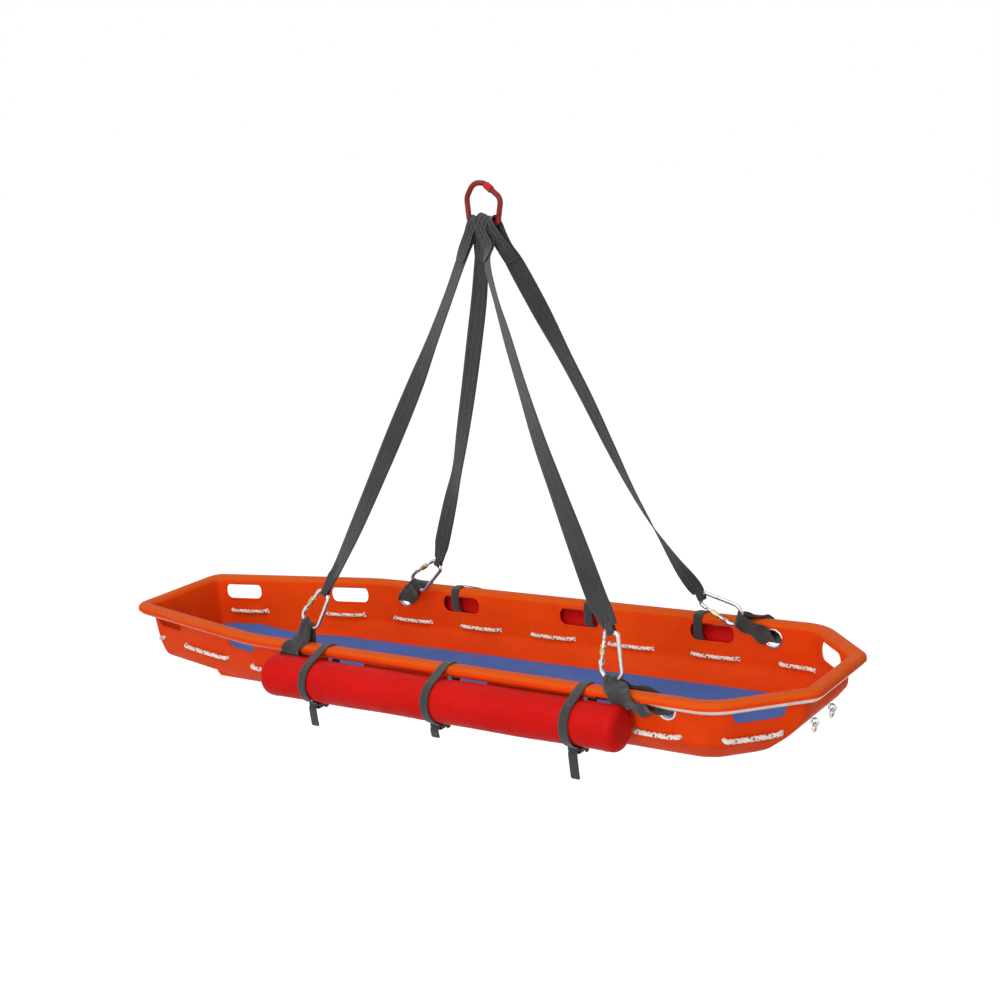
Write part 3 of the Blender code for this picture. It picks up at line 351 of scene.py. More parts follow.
def plasticMaterial(name, values):
    # Moulded plastic: a drifting tint, pebbled skin and pale scuffs that are rougher than the rest
    material, tree, shader, place = newMaterial(name, Specular_IOR_Level=values["gloss"])
    at = place["Object"]
    shown = tinted(tree, at, values)
    if "rim" in values:
        # Painted highlight on the rolled edge, a yellower orange, by the height above it in the hung basket's
        # own frame
        up = hung((0, 0, 1.0), True)
        edge = float(hung((0, 0, -values["rimDepth"])) @ up)
        height = vectorCalc(tree, "DOT_PRODUCT", at, tuple(up))
        above = ramp(tree, height, edge, edge + values["rimHighlightFade"], 0.0, values["rimHighlightShare"])
        shown = mixColour(tree, above, shown, values["rim"])
    patches = ramp(tree, noise(tree, at, values["patchScale"]), *values["patches"])
    worn = times(tree, marked(tree, at, values), patches)
    share = times(tree, worn, values["markShare"])
    tree.links.new(mixColour(tree, share, shown, values["mark"]), shader["Base Color"])
    skin = noise(tree, at, values["patchScale"] * values["skinScale"])
    roughen(tree, shader, values, skin, 0.3, 0.7, times(tree, worn, values["markRough"]))
    pebbles = use(tree, "grain", Vector=at, Size=values["grainSize"])["Height"]
    height = calc(tree, "SUBTRACT", pebbles, times(tree, worn, values["markDepth"]))
    bump(tree, shader, height, values["relief"])
    return material


def webbingMaterial(name, values):
    # Woven strap on its own UV map in metres: ribs, shaded gaps, a slow tint and a fuzz of stray fibres
    material, tree, shader, place = newMaterial(name, Sheen_Weight=values["sheen"], Sheen_Roughness=0.5,
                                                Specular_IOR_Level=values["gloss"])
    at = place["Object"]
    weave = use(tree, "twill", UV=place["UV"], Pitch=values["pitch"], Slant=values["slant"])
    fibres = noise(tree, at, values["fibreScale"], 2.0)
    pale = times(tree, ramp(tree, fibres, *values["fibreRange"]), values["fibreShare"])
    lit = mixColour(tree, pale, tinted(tree, at, values), values["fibre"])
    # The weave's gaps are darkened with painted shade between the threads
    gap = times(tree, weave["Gap"], values["gapShadeShare"])
    tree.links.new(mixColour(tree, gap, lit, values["gap"]), shader["Base Color"])
    roughen(tree, shader, values, fibres, 0.3, 0.7)
    bump(tree, shader, weave["Height"], values["relief"])
    return material


def clothMaterial(name, values):
    # Coated cloth: a fine even weave, with painted shade in the gaps between its threads, under a skin that
    # creases a little
    material, tree, shader, place = newMaterial(name, Specular_IOR_Level=values["gloss"])
    at = place["Object"]
    weave = use(tree, "twill", UV=place["UV"], Pitch=values["pitch"], Slant=0.5)
    # The weave's gaps are darkened with painted shade between the threads
    gap = times(tree, weave["Gap"], values["gapShadeShare"])
    tree.links.new(mixColour(tree, gap, tinted(tree, at, values), values["gap"]), shader["Base Color"])
    creases = noise(tree, at, values["creaseScale"], 3.0, 0.6)
    roughen(tree, shader, values, creases, 0.3, 0.7)
    height = calc(tree, "ADD", times(tree, weave["Height"], values["weaveShare"]), creases)
    bump(tree, shader, height, values["relief"])
    return material


def metalMaterial(name, values):
    # Metal with worn bright and dull patches, hairline scratches and faint pitting
    material, tree, shader, place = newMaterial(name, Metallic=values["metallic"],
                                                Specular_IOR_Level=values["gloss"])
    at = place["Object"]
    marks = marked(tree, at, values)
    share = times(tree, marks, values["markShare"])
    shown = mixColour(tree, share, tinted(tree, at, values), values["mark"])
    if "sleeve" in values:
        # Bare towards the head end, and in an orange sleeve from sleeveEnd along x towards the foot
        end = values["sleeveEnd"]
        covered = ramp(tree, splitVector(tree, at)[0], end, end + values["sleeveFade"], 1.0, 0.0)
        shown = mixColour(tree, covered, shown, values["sleeve"])
        tree.links.new(calc(tree, "SUBTRACT", 1.0, covered), shader["Metallic"])
    tree.links.new(shown, shader["Base Color"])
    dull = noise(tree, at, values["dullScale"])
    roughen(tree, shader, values, dull, 0.32, 0.68, times(tree, share, values["markRough"]))
    if values["metallic"] < 1.0:
        # Scratches through the paint show bare metal
        tree.links.new(ramp(tree, share, 0.2, 0.8, values["metallic"], 1.0), shader["Metallic"])
    pits = use(tree, "grain", Vector=at, Size=values["pitSize"])["Height"]
    bump(tree, shader, calc(tree, "SUBTRACT", pits, marks), values["relief"])
    return material


def ropeMaterial(name, values):
    # Twisted yarn on the strand's UV map: fine lines that slope round it, darker and browner in the grooves
    # between them, a drifting tint, and red-brown tracer flecks
    material, tree, shader, place = newMaterial(name, Sheen_Weight=0.3, Specular_IOR_Level=values["gloss"])
    at = place["Object"]
    apart = splitVector(tree, place["UV"])
    line = ridges(tree, calc(tree, "ADD", calc(tree, "DIVIDE", apart[0], values["yarn"]),
                             calc(tree, "DIVIDE", apart[1], values["yarn"] * values["yarnSlope"])))
    beat = calc(tree, "FRACT", calc(tree, "DIVIDE", apart[1], values["fleckEvery"]))
    inFleck = calc(tree, "LESS_THAN", beat, values["fleckShare"])
    onTracer = calc(tree, "GREATER_THAN", apart[0], 1.0)
    broken = ramp(tree, noise(tree, at, values["fleckScale"], 2.0), *values["fleckRange"])
    fleck = times(tree, times(tree, inFleck, onTracer), broken)
    shown = mixColour(tree, fleck, tinted(tree, at, values), values["fleck"])
    groove = times(tree, ramp(tree, line, 0.5, 0.0), values["grooveShare"])
    tree.links.new(mixColour(tree, groove, shown, values["groove"]), shader["Base Color"])
    roughen(tree, shader, values, line, 0.0, 1.0)
    bump(tree, shader, line, values["relief"])
    return material


# The rim colour of plasticLook, with its share, depth and fade, is a painted highlight tone along the rim top
plasticLook = {"colour": colour(232, 71, 11), "second": colour(222, 57, 12), "driftSize": 0.35, "drift": 0.7,
               "mark": colour(240, 126, 60), "markShare": 0.35, "markLength": 0.05, "markWidth": 0.0012,
               "markCut": 0.60, "markRough": 0.15, "markDepth": 0.5, "patches": (0.50, 0.72),
               "patchScale": 7.0, "skinScale": 3, "roughness": (0.45, 0.56), "gloss": 0.05,
               "grainSize": 0.0011, "relief": 0.00012, "rim": colour(202, 92, 20), "rimHighlightShare": 0.60,
               "rimDepth": 0.012, "rimHighlightFade": 0.005}
buckleLook = {"colour": colour(44, 44, 46), "second": colour(34, 34, 36), "driftSize": 0.02, "drift": 0.6,
              "mark": colour(110, 110, 112), "markShare": 0.5, "markLength": 0.008, "markWidth": 0.0004,
              "markCut": 0.60, "markRough": 0.15, "markDepth": 0.5, "patches": (0.50, 0.72),
              "patchScale": 60.0, "skinScale": 3, "roughness": (0.40, 0.51), "gloss": 0.4,
              "grainSize": 0.0006, "relief": 0.00005}
# The gap colours of the woven looks are painted shade in the gaps between threads
floatLook = {"colour": colour(201, 20, 14), "second": colour(192, 15, 12), "driftSize": 0.20, "drift": 0.7,
             "gap": colour(186, 12, 12), "gapShadeShare": 0.35, "pitch": 0.0011, "creaseScale": 26.0,
             "weaveShare": 0.08, "relief": 0.0005, "roughness": (0.44, 0.58), "gloss": 0.08}
padLook = {"colour": colour(84, 119, 191), "second": colour(75, 108, 176), "driftSize": 0.22, "drift": 0.8,
           "gap": colour(64, 88, 146), "gapShadeShare": 0.6, "pitch": 0.0012, "creaseScale": 22.0,
           "weaveShare": 0.25, "relief": 0.0006, "roughness": (0.64, 0.78), "gloss": 0.12}
webbingLook = {"colour": colour(60, 60, 59), "second": colour(48, 48, 48), "driftSize": 0.12, "drift": 0.8,
               "gap": colour(30, 29, 30), "gapShadeShare": 0.85, "fibre": colour(128, 124, 126),
               "fibreShare": 0.4, "fibreScale": 900.0, "fibreRange": (0.56, 0.70), "pitch": 0.0022,
               "slant": 0.25, "relief": 0.0007, "roughness": (0.70, 0.85), "sheen": 0.25, "gloss": 0.18}
strapLook = dict(webbingLook, pitch=0.0016, relief=0.0005, slant=0.5)
steelLook = {"colour": colour(214, 215, 214), "second": colour(186, 187, 186), "driftSize": 0.02,
             "drift": 0.6, "mark": colour(150, 150, 152), "markShare": 0.4, "markLength": 0.012,
             "markWidth": 0.0003, "markCut": 0.60, "markRough": 0.12, "dullScale": 60.0,
             "pitSize": 0.0006, "relief": 0.00003, "roughness": (0.18, 0.34), "metallic": 1.0, "gloss": 0.5}
brassLook = dict(steelLook, colour=colour(214, 192, 132), second=colour(186, 164, 110),
                 roughness=(0.26, 0.42))
tubeLook = dict(steelLook, colour=colour(196, 190, 182), second=colour(166, 160, 154), driftSize=0.08,
                roughness=(0.28, 0.44), markLength=0.06, markWidth=0.0006, sleeve=colour(222, 60, 8),
                sleeveEnd=0.52, sleeveFade=0.001)
ringLook = {"colour": colour(134, 27, 22), "second": colour(106, 20, 18), "driftSize": 0.02, "drift": 0.8,
            "mark": colour(96, 74, 72), "markShare": 0.8, "markLength": 0.010, "markWidth": 0.0008,
            "markCut": 0.63, "markRough": 0.12, "dullScale": 70.0, "pitSize": 0.0009, "relief": 0.00008,
            "roughness": (0.36, 0.52), "metallic": 0.0, "gloss": 0.25}
nutLook = dict(ringLook, colour=colour(198, 36, 26), second=colour(176, 28, 22), markShare=0.6)
ropeLook = {"colour": colour(250, 246, 236), "second": colour(232, 222, 206), "driftSize": 0.03, "drift": 0.6,
            "groove": colour(190, 168, 146), "grooveShare": 0.35, "fleck": colour(122, 40, 30),
            "fleckEvery": 0.009, "fleckShare": 0.55, "fleckScale": 160.0, "fleckRange": (0.40, 0.52),
            "yarn": 0.0011, "yarnSlope": 2.2, "relief": 0.00025, "roughness": (0.90, 0.75), "gloss": 0.25}
finishes = {"shell": plasticMaterial("orangePlastic", plasticLook),
            "buckle": plasticMaterial("blackPlastic", buckleLook),
            "float": clothMaterial("redCover", floatLook),
            "pad": clothMaterial("blueCover", padLook),
            "leg": webbingMaterial("legWebbing", webbingLook),
            "strap": webbingMaterial("strapWebbing", strapLook),
            "steel": metalMaterial("zincSteel", steelLook),
            "brass": metalMaterial("yellowZinc", brassLook),
            "tube": metalMaterial("rimTubeSteel", tubeLook),
            "ring": metalMaterial("redPaint", ringLook),
            "nut": metalMaterial("brightRedPaint", nutLook),
            "rope": ropeMaterial("lacingYarn", ropeLook)}
print("materials made:", len(finishes))


def unit(v):
    # Each vector over its own length
    return v / np.maximum(np.linalg.norm(v, axis=-1, keepdims=True), 1e-12)


def squared(v, way):
    # A vector without its part along a unit one, at length one
    return unit(v - way * np.sum(v * way, -1, keepdims=True))


def columnsOf(*parts):
    # Arrays spread to one shape and put together as coordinates
    return np.stack(np.broadcast_arrays(*parts), -1)


def turnAngles(count):
    # Even steps once round
    return np.arange(count) * 2 * math.pi / count


def framed(origin, xWay, yWay, zWay):
    # A place, as its origin and where its three axes point
    made = np.eye(4)
    made[:3, 0], made[:3, 1], made[:3, 2], made[:3, 3] = xWay, yWay, zWay, origin
    return made


def moved(points, place):
    # Points given along a place's axes, in the frame that the place is given in
    return points @ place[:3, :3].T + place[:3, 3]


xAxis, yAxis, zAxis = np.eye(3)
tilt = framed(hung((0.0, 0.0, 0.0)), *(hung(axis, True) for axis in (xAxis, yAxis, zAxis)))


def signedVolume(points, faces):
    # The sum over fan triangles of a . (b x c) / 6, positive where the faces point outwards
    return np.sum(points[faces[:, :1]] * np.cross(points[faces[:, 1:-1]], points[faces[:, 2:]])) / 6


def sheet(points, uv=None, wrapRows=False, caps=False):
    # Quads between the neighbours of a grid [row, column]. Each row runs once round. With wrapRows the last
    # row joins the first, and caps close the end rows; what is closed in this way is turned to face outwards.
    rows, columns = points.shape[:2]
    i = np.arange(rows - (not wrapRows))[:, None]
    j = np.arange(columns)[None, :]
    here, beyond, ahead = i * columns, (i + 1) % rows * columns, (j + 1) % columns
    quads = columnsOf(here + j, here + ahead, beyond + ahead, beyond + j).reshape(-1, 4)
    flat = points.reshape(-1, 3)
    if uv is None:
        uv = np.zeros((rows + wrapRows, columns + 1, 2))
    corners = np.stack((uv[i, j], uv[i, j + 1], uv[i + 1, j + 1], uv[i + 1, j]), 2).reshape(-1, 4, 2)
    ends = [np.arange(columns)[::-1][None], (np.arange(columns) + (rows - 1) * columns)[None]] if caps else []
    if (caps or wrapRows) and sum(signedVolume(flat, faces) for faces in (quads, *ends)) < 0:
        quads, corners, ends = quads[:, ::-1], corners[:, ::-1], [end[:, ::-1] for end in ends]
    return flat, quads, corners, ends


def plainObject(name, parts):
    # Grids put together as one mesh of their points, quads and end faces
    points, faces, start = [], [], 0
    for flat, quads, _, ends in parts:
        points.append(flat)
        for some in (quads, *ends):
            faces += (some + start).tolist()
        start += len(flat)
    mesh = bpy.data.meshes.new(name)
    mesh.from_pydata(np.concatenate(points).tolist(), [], faces)
    made = bpy.data.objects.new(name, mesh)
    bpy.context.scene.collection.objects.link(made)
    return made


def finished(made, finish, body, replaced, sharp):
    # Gives a mesh its shading, its finish, the body it rides on and the node that it stands in for
    made.data.shade_smooth()
    made.data.set_sharp_from_angle(angle=math.radians(sharp))
    made.data.materials.clear()
    made.data.materials.append(finishes[finish])
    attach(made, body)
    if replaced:
        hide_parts(replaced)
    return made


def makePiece(name, parts, finish, body, replaced=None, sharp=40.0):
    # One piece of its grids, with a UV map in metres on which the end faces have no size
    made = plainObject(name, parts)
    uvs = []
    for _, _, corners, ends in parts:
        uvs += [corners.reshape(-1, 2)] + [np.zeros((end.size, 2)) for end in ends]
    layer = made.data.uv_layers.new(name="UVMap")
    layer.data.foreach_set("uv", np.concatenate(uvs).astype(np.float32).ravel())
    return finished(made, finish, body, replaced, sharp)


def lengths(path, closed=False):
    # Distance along a path of points at each of them, and once more round where it is closed
    ring = np.concatenate((path, path[:1])) if closed else path
    return np.concatenate(((0.0,), np.cumsum(np.linalg.norm(np.diff(ring[:, :3], axis=0), axis=1))))


def throughPoints(knots, count, closed=False):
    # Catmull-Rom curve through the knots, then samples at even steps of its length; extra columns go along
    knots = np.asarray(knots, float)
    if closed:
        p = np.concatenate((knots[-1:], knots, knots[:2]))
    else:
        p = np.concatenate((2 * knots[:1] - knots[1:2], knots, 2 * knots[-1:] - knots[-2:-1]))
    a, b, c, d = (p[k:len(p) - 3 + k, None] for k in range(4))
    spanSteps = 24
    t = np.linspace(0, 1, spanSteps, endpoint=False)[None, :, None]
    curve = 0.5 * (2 * b + (c - a) * t + (2 * a - 5 * b + 4 * c - d) * t ** 2 +
                   (3 * b - a - 3 * c + d) * t ** 3)
    curve = curve.reshape(-1, knots.shape[1])
    curve = np.concatenate((curve, knots[:1] if closed else knots[-1:]))
    run = lengths(curve)
    at = np.linspace(0, run[-1], count + closed)[:count]
    return np.stack([np.interp(at, run, column) for column in curve.T], -1)


def sweep(path, across, section, closed=False, sheared=False, shift=0.0):
    # A closed section (across, normal) carried along the path; the normal is the tangent crossed with across.
    # A sheared section keeps its way across as it is given, and shift moves the UV map sideways.
    if closed:
        tangent = unit(np.roll(path, -1, 0) - np.roll(path, 1, 0))
    else:
        tangent = unit(np.gradient(path, axis=0))
    across = unit(np.broadcast_to(across, path.shape))
    if not sheared:
        across = squared(across, tangent)
    normal = unit(np.cross(tangent, across))
    section = np.broadcast_to(section, (len(path),) + section.shape[-2:])
    points = path[:, None] + section[..., :1] * across[:, None] + section[..., 1:] * normal[:, None]
    u = lengths(section[len(path) // 2], True) + shift
    uv = columnsOf(u[None, :], lengths(path, closed)[:, None])
    return sheet(points, uv, wrapRows=closed, caps=not closed)


def circle(radius, count):
    # (r cos a, r sin a) once round
    a = turnAngles(count)
    return np.stack((radius * np.cos(a), radius * np.sin(a)), -1)


def strapSection(width, thickness, columns=13, crown=0.0, pleat=0.0, pleats=1.0):
    # Across s from -1 to 1: height is crown (1 - s^2) + pleat cos(pleats pi s); thickness fades as
    # (1 - s^10)^0.5. Each size is one number or one for each row.
    width, thickness, crown, pleat = (np.atleast_1d(np.asarray(size, float))[:, None]
                                      for size in (width, thickness, crown, pleat))
    s = np.sin(np.linspace(-1, 1, columns) * math.pi / 2)[None]
    mid = crown * (1 - s ** 2) + pleat * np.cos(pleats * math.pi * s)
    half = thickness / 2 * np.sqrt(np.maximum(1 - s ** 10, 0))
    x = s * width / 2
    top = columnsOf(x, mid + half)
    under = columnsOf(x, mid - half)[:, 1:-1][:, ::-1]
    return np.concatenate((top, under), 1)


def roundedLoop(corners, radii, arcSteps, edgeSteps):
    # A closed outline: each corner an arc of its radius, and each straight run cut into even steps
    corners = np.asarray(corners, float)
    back, ahead = unit(np.roll(corners, 1, 0) - corners), unit(np.roll(corners, -1, 0) - corners)
    half = np.arccos(np.clip(np.sum(back * ahead, 1), -1, 1)) / 2
    radii = np.asarray(radii, float)
    middle = corners + unit(back + ahead) * (radii / np.sin(half))[:, None]
    start, end = (corners + way * (radii / np.tan(half))[:, None] - middle for way in (back, ahead))
    turn = np.arctan2(start[:, 0] * end[:, 1] - start[:, 1] * end[:, 0], np.sum(start * end, 1))
    angle = turn[:, None] * np.linspace(0, 1, arcSteps + 1)[None]
    c, s = np.cos(angle), np.sin(angle)
    arcs = np.stack((middle[:, :1] + c * start[:, :1] - s * start[:, 1:],
                     middle[:, 1:] + s * start[:, :1] + c * start[:, 1:]), -1)
    loop = []
    for arc, following, steps in zip(arcs, np.roll(arcs, -1, 0), np.broadcast_to(edgeSteps, len(arcs))):
        share = (np.arange(1, steps) / steps)[:, None]
        loop.append(np.concatenate((arc, arc[-1] * (1 - share) + following[0] * share)))
    return np.concatenate(loop)


def lathe(profile, columns, place, closed=True, ripple=1.0):
    # A profile of (radius, height) turned about the place's z; a ripple [row, column] scales the radius
    profile = np.asarray(profile, float)
    a = turnAngles(columns)
    r = np.broadcast_to(profile[:, :1] * ripple, (len(profile), columns))
    points = columnsOf(r * np.cos(a), r * np.sin(a), profile[:, 1:])
    u = np.arange(columns + 1) * 2 * math.pi / columns * profile[:, 0].max()
    uv = columnsOf(u[None], lengths(profile, closed)[:, None])
    return sheet(moved(points, place), uv, wrapRows=closed, caps=not closed)


def hexagon(faces, columns):
    # A ripple: the radius of a six-sided bar over that of its corners, taken by each row's share of it
    turn = (turnAngles(columns) + math.pi / 6) % (math.pi / 3) - math.pi / 6
    return 1 - np.array(faces)[:, None] * (1 - math.cos(math.pi / 6) / np.cos(turn))


# Insets are inwards from the rim's plan and depths are downwards from its top. Each row of lower is what the
# five insets below the bend are more than the wall's inset there, and how much the corners shrink.
basket = {"length": 2.16, "footHalf": 0.171, "shoulder": (-0.510, 0.2925), "headCorner": (0.904, 0.306),
          "headHalf": 0.135, "radii": (0.050, 0.60, 0.130, 0.045), "leastRadii": (0.012, 0.05, 0.02, 0.012),
          "wall": 0.004, "lip": 0.017, "lipTop": 0.008, "lipRound": 0.0045, "flangeIn": 0.031,
          "flange": 0.0375, "flangeDepth": 0.011, "draft": 0.07, "midDepth": 0.080, "bendDepth": 0.120,
          "chamferDepth": 0.158, "floorDepth": 0.171, "floorRound": 0.0015, "flangeShrink": 0.022,
          "wallShrink": 0.026, "headMore": 0.004,
          "lower": (((0.002, 0.0, 0.0, 0.013, 0.037), 0.026), ((0.007, 0.013, 0.035, 0.050, 0.090), 0.032),
                    ((0.017, 0.027, 0.055, 0.073, 0.120), 0.036),
                    ((0.030, 0.040, 0.067, 0.085, 0.135), 0.036)),
          "rounding": (0.0020, 0.0025, 0.0035, 0.0040, 0.010, 0.014, 0.012, 0.0006),
          "straightSteps": (1, 1, 1, 9, 5, 5, 2, 1), "stopShort": 0.012, "spine": (-0.80, 0.72),
          "spineShares": (0.12, 0.30, 0.5, 0.7, 0.9, 1.0)}
edgeSteps = (44, 112, 18, 20, 18, 112, 44, 24)
arcSteps = 9


def wallInset(depth):
    # The wall's outer face starts at the flange and leans in by its draft
    return basket["flange"] + basket["draft"] * np.maximum(depth - basket["flangeDepth"], 0.0)


def planRing(insets, shrink, z):
    # The rim's eight-sided plan with each side moved in by its own inset and its corners rounded, at height z
    half = basket["length"] / 2
    corners = [(-half, -basket["footHalf"]), (basket["shoulder"][0], -basket["shoulder"][1]),
               (basket["headCorner"][0], -basket["headCorner"][1]), (half, -basket["headHalf"])]
    corners = np.array(corners + [(x, -y) for x, y in reversed(corners)])
    footEnd, footTaper, side, headTaper, headEnd = insets
    inwards = np.array((footTaper, side, headTaper, headEnd, headTaper, side, footTaper, footEnd))[:, None]
    along = unit(np.roll(corners, -1, 0) - corners)
    base = corners + np.stack((-along[:, 1], along[:, 0]), -1) * inwards
    before, way = np.roll(base, 1, 0), np.roll(along, 1, 0)
    gap = base - before
    reach = ((gap[:, 0] * along[:, 1] - gap[:, 1] * along[:, 0]) /
             (way[:, 0] * along[:, 1] - way[:, 1] * along[:, 0]))
    radii = [max(r - shrink, least) for r, least in zip(basket["radii"], basket["leastRadii"])]
    outline = roundedLoop(before + way * reach[:, None], radii + radii[::-1], arcSteps, edgeSteps)
    return np.concatenate((outline, np.full((len(outline), 1), z)), 1)


def upperSection():
    # The skin's underside over the rim as (inset, depth): up the lip, along the flange and down to the wall
    t = basket["wall"]
    return [(t, basket["lip"]), (t, basket["lipTop"]), (t + basket["lipRound"], t), (basket["flangeIn"], t),
            (basket["flange"], basket["flangeDepth"])]


def basketLevels():
    # The skin's underside and outer face, from the lip's lower edge to the floor
    section = upperSection()
    shrinks = [inset for inset, _ in section[:3]] + [basket["flangeShrink"], basket["wallShrink"]]
    made = [planRing((inset,) * 5, shrink, -depth) for (inset, depth), shrink in zip(section, shrinks)]
    mid, bend = (wallInset(basket[depth]) for depth in ("midDepth", "bendDepth"))
    insets = (mid, mid, mid, mid, mid + basket["headMore"])
    made.append(planRing(insets, basket["wallShrink"], -basket["midDepth"]))
    depths = (basket["bendDepth"], basket["chamferDepth"], basket["floorDepth"] - basket["floorRound"],
              basket["floorDepth"])
    return made + [planRing([bend + more for more in insets], shrink, -depth)
                   for (insets, shrink), depth in zip(basket["lower"], depths)]


# The rings of the near side's wall run from the foot end to part way round the fourth corner's arc
levels = basketLevels()
sideRun = sum(edgeSteps[:3]) + 3 * arcSteps + 6
wallRings = [ring[:sideRun] for ring in levels[4:7]]


def wallHalf(x, depth):
    # Half width of the outer face: straight in depth between the rings at three depths
    widths = [np.interp(x, ring[:, 0], -ring[:, 1]) for ring in wallRings]
    flange, mid, bend = (basket[name] for name in ("flangeDepth", "midDepth", "bendDepth"))
    upper = widths[0] + (widths[1] - widths[0]) * (depth - flange) / (mid - flange)
    lower = widths[1] + (widths[2] - widths[1]) * (depth - mid) / (bend - mid)
    return np.where(depth < mid, upper, lower)


def wallPoint(x, side, depth):
    # A point of the outer face
    x, depth = np.broadcast_arrays(np.asarray(x, float), np.asarray(depth, float))
    return np.stack((x, side * wallHalf(x, depth), -depth), -1)


wallStep = {"along": 0.002, "up": 0.003}


def wallFrame(x, side, depth):
    # On the outer face: the point, the way along it (towards the head), up it and out of it
    here = wallPoint(x, side, depth)
    step = wallStep["along"]
    along = unit(wallPoint(x + step, side, depth) - wallPoint(x - step, side, depth))
    up = squared(wallPoint(x, side, depth - wallStep["up"]) - here, along)
    out = np.cross(along, up)
    return here, along, up, out * np.sign(out[..., 1:2] * side)


def rimAt(x):
    # Half width of the rim along its long sides
    share = (x - basket["shoulder"][0]) / (basket["headCorner"][0] - basket["shoulder"][0])
    return basket["shoulder"][1] + share * (basket["headCorner"][1] - basket["shoulder"][1])


slots = {"stations": (-0.951, -0.589, -0.191, 0.204, 0.604, 0.962), "length": 0.125, "height": 0.047,
         "depth": 0.043, "cornerShare": 0.42, "beadIn": 0.0009, "beadWidth": 0.0062, "beadProud": 0.0013,
         "beadPower": 0.7, "beadColumns": 14}
lacing = {"stations": (-0.996, -0.874, -0.668, -0.546, -0.436, -0.303, -0.192, -0.061, 0.048, 0.184, 0.295,
                       0.427, 0.545, 0.676, 0.793, 0.894, 0.990),
          "depth": 0.103, "hole": 0.0070, "near": 0.0064, "far": 0.0053, "clear": 0.0010, "bulge": 0.0005,
          "sag": 0.0012, "tail": 0.005, "strandShare": 0.535, "endShare": 1.12, "endRows": 5, "pitch": 0.042,
          "rows": 1100}
anchorLook = {"depth": 0.041, "hole": 0.0225, "loopWidth": 0.058, "inHole": 0.042, "onBow": 0.034,
              "thickness": 0.0045, "clear": 0.0012, "offBow": 0.00087}
# Each anchor: place along the basket, side, where the carabiner's wide bow lies as (x, inset, z), and its
# long axis as (x, z)
anchors = {"foot_near": (-0.395, -1, (-0.300, 0.0325, 0.048), (0.624, 0.781)),
           "foot_far": (-0.390, 1, (-0.335, 0.0612, 0.008), (0.796, 0.606)),
           "head_near": (0.765, -1, (0.6315, 0.0314, 0.0165), (0.090, 0.996)),
           "head_far": (0.775, 1, (0.700, 0.0661, 0.012), (-0.9225, 0.3858))}
towLook = {"half": 0.048, "depth": 0.103, "shank": 0.003, "eye": 0.0085, "eyeBar": 0.0029, "stand": 0.003,
           "ring": 0.0105, "ringBar": 0.0028, "nut": 0.0065, "nutThick": 0.005, "clear": 0.0004,
           "shankOut": 0.002, "shankRound": 0.0006, "nutRound": 0.0008, "nutFaces": (0, 0.3, 1, 1, 0.3, 0),
           "collar": ((0.0066, 0.0004), (0.0070, 0.0010), (0.0066, 0.0018), (0.0040, 0.0022)), "neck": 0.0031}
cutHalf = {"slot": 0.012, "hole": 0.010, "tow": 0.015}


def slotOutline():
    # A rounded oblong about its own middle
    a, b = slots["length"] / 2, slots["height"] / 2
    corner = slots["height"] * slots["cornerShare"]
    return roundedLoop([(-a, -b), (a, -b), (a, b), (-a, b)], [corner] * 4, 8, 14)


def prismPart(outline, place, half):
    # An outline in the place's xy plane carried from half below it to half above it
    ends = columnsOf(outline[:, 0], outline[:, 1], np.array((-half, half))[:, None])
    return sheet(moved(ends, place), caps=True)


def wallPlace(x, side, depth):
    # The hung place in the middle of the wall, y up it and z out of it
    here, _, up, out = wallFrame(x, side, depth)
    return tilt @ framed(here - out * basket["wall"] / 2, np.cross(up, out), up, out)


def towPlace(side):
    # The hung place on the head end's sloping face, y across and z out of it
    top, bottom = levels[5][:, 0].max(), levels[6][:, 0].max()
    fall = basket["bendDepth"] - basket["midDepth"]
    share = (towLook["depth"] - basket["midDepth"]) / fall
    slope = unit(np.array((bottom - top, 0.0, -fall)))
    out = np.array((-slope[2], 0.0, slope[0]))
    origin = np.array((top + (bottom - top) * share, side * towLook["half"], -towLook["depth"]))
    return tilt @ framed(origin, np.cross(yAxis, out), yAxis, out)


def applied(made):
    # The mesh that the modifiers give, in place of them
    bpy.context.view_layer.update()
    mesh = bpy.data.meshes.new_from_object(made.evaluated_get(bpy.context.evaluated_depsgraph_get()))
    made.modifiers.clear()
    made.data = mesh


def partWay(here, there, reach):
    # The point that far from here towards there, and at most 0.45 of the way
    apart = np.linalg.norm(there - here, axis=1, keepdims=True)
    return here + unit(there - here) * np.minimum(reach, 0.45 * apart)


def roundedProfile():
    # Each level's corner in the section becomes a parabola between points a little before and after it, and
    # the straight run that follows is cut into steps
    rows = np.array(levels)
    made = [rows[:1]]
    t = np.linspace(0, 1, 6)[:, None, None]
    for k, (reach, steps) in enumerate(zip(basket["rounding"], basket["straightSteps"]), 1):
        here, following = rows[k], rows[k + 1]
        a, b = partWay(here, rows[k - 1], reach), partWay(here, following, reach)
        made.append((1 - t) ** 2 * a + 2 * t * (1 - t) * here + t ** 2 * b)
        share = (np.arange(1, steps) / steps)[:, None, None]
        stop = following - unit(following - here) * basket["stopShort"]
        made.append(b * (1 - share) + stop * share)
    return np.concatenate(made + [rows[-1:]])


def runIn(ring, ends, shares, z):
    # Rings stepping in from one ring to a line along its middle at height z
    line = columnsOf(np.clip(ring[:, 0], *ends), 0.0, z)
    shares = np.asarray(shares)[:, None, None]
    return ring * (1 - shares) + line * shares


